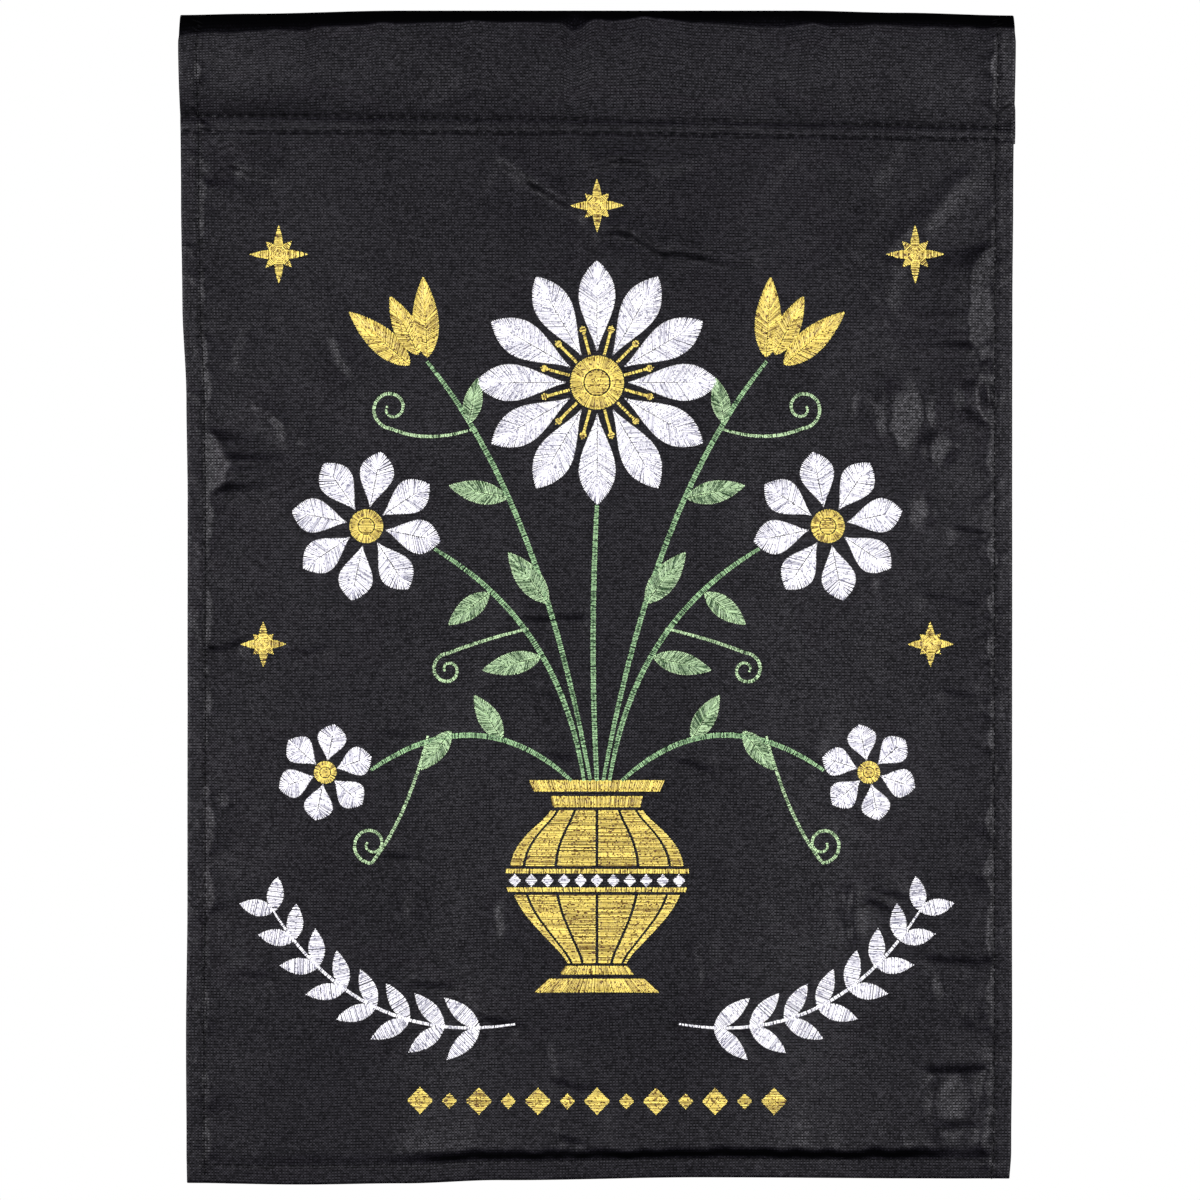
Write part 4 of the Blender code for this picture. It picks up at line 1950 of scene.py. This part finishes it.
@dataclass
class Flower:
    """A round flower: petals of white satin about a gold heart."""

    place: Spot
    petals: int
    inner: float
    length: float
    width: float
    heart: float
    turn: float = 0.0

    def angles(self, shift: float = 0.0) -> list[float]:
        """Return the petals' directions, shifted by a share of the angle between them."""
        step = 2 * math.pi / self.petals
        return [self.turn + (index + shift) * step for index in range(self.petals)]

    def petal_columns(self) -> Columns:
        """Return the petals, each in two sloping halves.

        Returns:
            The petals' columns.
        """
        out = np.array([0.0, self.inner])
        halves = [placed(half, out, 0.0) for half in split_petal(self.length, self.width, 0.62)]
        return [placed(half, self.place, angle) for angle in self.angles() for half in halves]

    def heart_columns(self) -> Columns:
        """Return the heart: a ring of radial stitches round a small disc.

        Returns:
            The ring and the disc.
        """
        angles = np.linspace(0, 2 * math.pi, 72)
        ring = np.stack([np.cos(angles), np.sin(angles)], axis=1)
        spot = np.array(self.place)
        outer = SatinColumn(spot + ring * self.heart, spot + ring * self.heart * 0.5)
        half = np.linspace(0.02, math.pi - 0.02, 24)
        radius = self.heart * 0.46
        side = np.stack([np.sin(half) * radius, np.cos(half) * radius], axis=1)
        return [outer, SatinColumn(spot + flipped(side), spot + side)]

    def stamens(self, length: float, width: float) -> Columns:
        """Return thin rays between the petals, each with a small drop at its end.

        Args:
            length: From the heart to the drop.
            width: Of one ray.

        Returns:
            The rays and the drops.
        """
        start, end = self.heart + 0.8 * MM, self.heart + length
        ray = ribbon(rail([(0.0, start), (0.0, end)]), width)
        drop = placed(petal(2.6 * width, 2.1 * width, 0.55), (0.0, end - 0.3 * width), 0.0)
        return [placed(part, self.place, angle) for angle in self.angles(0.5) for part in (ray, drop)]


@dataclass
class Bouquet:
    """The embroidered picture: a vase of flowers, laid out about the panel's centre."""

    centre: Spot
    stem: float = 2.1 * MM
    cord: float = 1.35 * MM
    mouth: float = -48.0

    def at(self, x: float, z: float) -> Spot:
        """Return a place given in millimetres from the panel's centre."""
        return self.centre[0] + x * MM, self.centre[1] + z * MM

    def path(self, *points: Spot) -> Array:
        """Return a smooth curve through three points given in millimetres."""
        return bezier(*(np.array(self.at(x, z)) for x, z in points))

    def great_flower(self) -> Flower:
        """Return the flower in the middle."""
        return Flower(self.at(0, 108), 12, 12.5 * MM, 35 * MM, 14 * MM, 10.5 * MM)

    def side_flowers(self) -> list[Flower]:
        """Return the four smaller flowers.

        Returns:
            The flowers.
        """
        rows = (
            # x, z, petals, inner radius, petal length and width, heart radius
            (90, 52, 8, 8.0, 21.5, 13.0, 6.6),
            (106, -44, 6, 5.0, 14.0, 11.0, 4.4),
        )
        flowers = []
        for x, z, petals, *sizes in rows:
            for side in (-1, 1):
                measures = (size * MM for size in sizes)
                flowers.append(Flower(self.at(side * x, z), petals, *measures, 0.2 * side))
        return flowers

    def stems(self) -> Columns:
        """Return the stems, from the vase's mouth to the flowers.

        Returns:
            The stems' columns.
        """
        mouth = self.mouth + 1.0
        one_side = [
            self.path((5, mouth), (14, 14), (63, 43)),
            self.path((10, mouth), (46, -14), (88, -43)),
            self.path((2.5, mouth), (22, 62), (66, 116)),
        ]
        middle = ribbon(self.path((0, mouth), (-3, 5), (0, 60)), self.stem, 0.2)
        return [middle] + mirrored([ribbon(path, self.stem, 0.35) for path in one_side])

    def leaves(self) -> Columns:
        """Return the solid leaves along the stems, each in two sloping halves.

        Returns:
            The leaves' columns.
        """
        rows = (
            # x, z, turn in degrees, length, width
            (19, 22, -38, 25, 9.5),
            (35, 63, -78, 23, 8.5),
            (22, 1, -103, 23, 8.5),
            (42, 26, -128, 20, 8.0),
            (37, -31, -32, 20, 8.0),
            (57, -28, -142, 19, 7.5),
            (50, 92, 12, 18, 7.0),
        )
        columns = []
        for x, z, turn, length, width in rows:
            for half in split_petal(length * MM, width * MM, 0.45, 0.26):
                columns.append(placed(half, self.at(x, z), math.radians(turn)))
        return mirrored(columns)

    def tendrils(self) -> Columns:
        """Return the thin curls that spring from the stems.

        Returns:
            The curls' columns.
        """
        rows = (
            # start, middle, then the curl's centre, its radius and its first angle in degrees
            ((48, 90), (66, 84), (80, 98), 8.0, -90),
            ((27, 12), (44, 8), (58, -4), 6.5, 90),
            ((66, -30), (74, -62), (88, -72), 7.5, -90),
        )
        columns = []
        for start, middle, (x, z), radius, first in rows:
            way = 1 if first < 0 else -1
            angles = np.radians(first + way * np.linspace(0, 470, 60))
            reach = radius * np.linspace(1.0, 0.22, 60)
            curl = np.stack([x + reach * np.cos(angles), z + reach * np.sin(angles)], axis=1)
            lead = bezier(start, middle, curl[0], 24)[:-1]
            line = resampled(np.concatenate([lead, curl]), 90)
            columns.append(ribbon(rail(self.at(*spot) for spot in line), self.cord, 0.3))
        return mirrored(columns)

    def tulips(self) -> Columns:
        """Return the two gold tulips, each of three upright petals.

        Returns:
            The petals' columns.
        """
        lean = math.radians(-26)
        parts = []
        for x, z, turn, length, width in (
            (66, 118, 0.40, 31, 10.0),
            (73, 115, -0.40, 31, 10.0),
            (69.5, 119, 0.0, 25, 9.0),
        ):
            for half in split_petal(length * MM, width * MM, 0.42, 0.24):
                parts.append(placed(half, self.at(x, z), lean + turn))
        return mirrored(parts)

    def vase_width(self, z: Array) -> Array:
        """Return the vase's half width in millimetres at heights below the centre.

        Args:
            z: Heights in millimetres.

        Returns:
            The half widths.
        """
        heights = (-118, -110, -98, -86, -74, -64, -59)
        widths = (11.0, 19.0, 30.0, 35.5, 33.0, 24.0, 17.0)
        steps = np.linspace(heights[0], heights[-1], 80)
        between = np.pad(np.interp(steps, heights, widths), 6, mode="edge")
        return np.interp(z, steps, np.convolve(between, np.ones(13) / 13, "valid"))

    def vase(self) -> Columns:
        """Return the vase: upright lobes above and below a belt, a lip and a foot.

        Returns:
            The vase's columns.
        """
        lobes, edge, gap = 6, 0.46 * math.pi, 0.5
        shares = np.sin(np.linspace(-edge, edge, lobes + 1)) / math.sin(edge)
        columns = []
        for top, bottom in ((-59, -80), (-92, -118)):
            heights = np.linspace(top, bottom, 40)
            widths = self.vase_width(heights)
            for low, high in zip(shares, shares[1:]):
                left = rail(self.at(low * w + gap, z) for w, z in zip(widths, heights))
                right = rail(self.at(high * w - gap, z) for w, z in zip(widths, heights))
                columns.append(SatinColumn(left, right))
        for top, bottom, wide_top, wide_bottom in (
            (-47.0, -51.5, 26, 24),
            (-53.2, -57.6, 17.5, 16.5),
            (-81.6, -83.4, 35.2, 35.4),
            (-88.8, -90.6, 34.8, 34.2),
            (-119.4, -122.8, 11.5, 14),
            (-124.4, -129.8, 18, 24),
        ):
            upper = rail(self.at(x, top) for x in np.linspace(-wide_top, wide_top, 30))
            lower = rail(self.at(x, bottom) for x in np.linspace(-wide_bottom, wide_bottom, 30))
            columns.append(SatinColumn(upper, lower))
        return columns

    def diamond(self, x: float, z: float, wide: float, tall: float) -> SatinColumn:
        """Return a diamond about a place, its sizes given from its middle.

        Args:
            x: Its middle in millimetres.
            z: The same, in height.
            wide: Half its width.
            tall: Half its height.

        Returns:
            The diamond as one column.
        """
        t = np.linspace(0.0, 1.0, 14)
        half = wide * (1 - np.abs(2 * t - 1)) + 0.25
        heights = z + tall * (1 - 2 * t)
        left = rail(self.at(x - w, height) for w, height in zip(half, heights))
        right = rail(self.at(x + w, height) for w, height in zip(half, heights))
        return SatinColumn(left, right)

    def belt(self) -> Columns:
        """Return the white diamonds on the vase's belt."""
        return [self.diamond(6.4 * index, -86.1, 2.3, 2.3) for index in range(-5, 6)]

    def border(self) -> Columns:
        """Return the row of gold diamonds below the vase.

        Returns:
            The diamonds.
        """
        columns = []
        for index in range(-6, 7):
            size = 5.0 if index % 2 == 0 else 2.8
            columns.append(self.diamond(index * 11.5, -172, size, size))
        return columns

    def laurels(self) -> Columns:
        """Return the white sprays of solid leaves on both sides of the vase.

        Returns:
            The spines and the leaves.
        """
        spine = self.path((32, -142), (92, -152), (126, -98))
        columns = [ribbon(spine, self.cord, 0.4)]
        steps = resampled(spine, 9)
        runs = np.gradient(steps, axis=0)
        for index, (spot, run) in enumerate(zip(steps[1:], runs[1:])):
            ahead = math.atan2(run[1], run[0]) - math.pi / 2
            leaf = petal((17.5 - 0.6 * index) * MM, 6.2 * MM, 0.46)
            for side in (-1, 1):
                columns.append(placed(leaf, spot, ahead + side * 0.74))
        return mirrored(columns)

    def stars(self) -> Columns:
        """Return the small gold stars of eight slim rays.

        Returns:
            The stars' rays.
        """
        columns = []
        for x, z, size in ((0, 177, 10), (124, 158, 11), (130, 6, 8.5)):
            star = []
            for ray in range(8):
                long = size if ray % 2 == 0 else size * 0.62
                shape = petal(long * MM, 3.2 * MM, 0.32)
                star.append(placed(shape, self.at(x, z), ray * math.pi / 4))
            columns += mirrored(star) if x else star
        return columns

    def motifs(self) -> list[tuple[str, Thread, Columns]]:
        """Return every motif with its name, thread and columns, in sewing order.

        Returns:
            The motifs.
        """
        great, others = self.great_flower(), self.side_flowers()
        hearts = great.heart_columns() + great.stamens(9.5 * MM, 1.15 * MM)
        small_petals: Columns = []
        for flower in others:
            small_petals += flower.petal_columns()
            hearts += flower.heart_columns()
        return [
            ("green_stems", Thread.STEM, self.stems()),
            ("green_tendrils", Thread.LEAF, self.tendrils()),
            ("green_leaves", Thread.LEAF, self.leaves()),
            ("white_great_flower", Thread.WHITE, great.petal_columns()),
            ("white_side_flowers", Thread.WHITE, small_petals),
            ("white_laurels", Thread.WHITE, self.laurels()),
            ("white_belt", Thread.WHITE, self.belt()),
            ("gold_hearts", Thread.GOLD, hearts),
            ("gold_tulips", Thread.GOLD, self.tulips()),
            ("gold_vase", Thread.GOLD, self.vase()),
            ("gold_stars", Thread.GOLD, self.stars()),
            ("gold_border", Thread.GOLD, self.border()),
        ]


# ---- the surroundings


@dataclass
class Studio:
    """The pale floor, the soft lights at both sides and the camera."""

    low: Vector
    high: Vector
    view_span: float = 467.8 * MM
    lens: float = 135.0
    sensor: float = 36.0
    shift_right: float = 1.2 * MM
    head_room: float = 4.3 * MM
    floor_drop: float = 0.14
    floor_half: float = 0.95
    box_side: float = 0.5
    box_colour: Colour = (0.975, 0.955, 1.0)
    front_power: float = 23.5
    back_power: float = 12.0
    glow: float = 0.006

    def floor(self) -> None:
        """Add the plain pale floor below the flag."""
        z = self.low.z - self.floor_drop
        s = self.floor_half
        mesh = bpy.data.meshes.new("floor")
        mesh.from_pydata([(-s, -s, z), (s, -s, z), (s, s, z), (-s, s, z)], [], [(0, 1, 2, 3)])
        material, book, shader = new_material("pale_floor")
        book.feed(shader, {"Base Color": (0.86, 0.86, 0.86, 1.0), "Roughness": 0.8})
        mesh.materials.append(material)
        floor = new_object("floor", mesh)
        floor.visible_diffuse = False
        floor.visible_glossy = False
        floor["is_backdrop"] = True

    def soft_light(self, name: str, place: tuple[float, float, float], power: float) -> None:
        """Add one square soft box that faces the flag's middle.

        Args:
            name: The lamp's name.
            place: Where it stands.
            power: In watts.
        """
        data = bpy.data.lights.new(name, "AREA")
        data.shape = "RECTANGLE"
        data.size = data.size_y = self.box_side
        data.energy = power
        data.color = self.box_colour
        lamp = new_object(name, data)
        lamp.location = place
        target = (self.low + self.high) / 2
        lamp.rotation_euler = (target - lamp.location).to_track_quat("-Z", "Y").to_euler()

    def lights(self) -> None:
        """Add the two side boxes, a weak pair behind, and the white surroundings."""
        middle = (self.low.z + self.high.z) / 2
        for side, name in ((-1, "left_box"), (1, "right_box")):
            self.soft_light(name, (side * 0.80, -1.22, middle), self.front_power)
            self.soft_light(f"{name}_back", (side * 1.0, 1.0, middle), self.back_power)
        world = bpy.data.worlds.new("studio")
        bpy.context.scene.world = world
        world.use_nodes = True
        book = NodeBook(world.node_tree)
        seen = book.add("ShaderNodeLightPath").outputs["Is Camera Ray"]
        white, dim = (
            book.add("ShaderNodeBackground", {}, {"Color": (1, 1, 1, 1), "Strength": strength})
            for strength in (1.0, self.glow)
        )
        mix = book.add("ShaderNodeMixShader", {}, {0: seen, 1: dim.outputs[0], 2: white.outputs[0]})
        book.feed(world.node_tree.nodes["World Output"], {0: mix.outputs[0]})

    def camera(self) -> None:
        """Add the camera, face on to the flag and far off."""
        data = bpy.data.cameras.new("camera")
        data.lens = self.lens
        data.sensor_width = self.sensor
        camera = new_object("camera", data)
        distance = self.view_span * self.lens / self.sensor
        z = self.high.z + self.head_room - self.view_span / 2
        camera.location = (self.shift_right, -distance, z)
        camera.rotation_euler = (math.radians(90), 0, 0)
        bpy.context.scene.camera = camera

    def build(self) -> None:
        """Add everything and set the plain view transform."""
        self.camera()
        self.floor()
        self.lights()
        bpy.context.scene.view_settings.view_transform = "Standard"
        bpy.context.scene.view_settings.look = "None"


def main() -> None:
    """Build every piece of the flag around the frame."""
    logging.basicConfig(level=logging.INFO, format="%(name)s %(message)s")
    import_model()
    cad_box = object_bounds()
    low, high = cad_box
    Studio(low, high).build()
    form = ClothForm(width=high.x - low.x, height=high.z - low.z)
    panel_low, panel_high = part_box("flag_panel")
    middle = (panel_low + panel_high) / 2
    motifs = Bouquet((middle.x, middle.z)).motifs()
    form.settle([column for _, _, columns in motifs for column in columns])
    cloth = FlagCloth(form)
    panel, sleeve = cloth.panel(), cloth.sleeve()
    panel.data.materials.append(ClothFinish("panel_cloth").material())
    sleeve.data.materials.append(ClothFinish("sleeve_cloth").material())
    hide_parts("flag_panel")
    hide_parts("pole_sleeve")
    tree = StitchTree()
    rows = SewingStitches(form, cloth).run()
    sewing = tree.lay(rows, "sewing_stitches", Thread.SEWING.material(), 4, 3, 4, 0.35)
    Thread.SEWING.slot
    embroiderer = Embroiderer(form, tree)
    threads = [sewing]
    for name, thread, columns in motifs:
        threads += embroiderer.stitch(name, thread, columns)
    for piece in (panel, sleeve, *threads):
        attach(piece, "root")
        LOG.info("%s has %d faces", piece.name, len(piece.data.polygons))


if __name__ == "__main__":
    main()
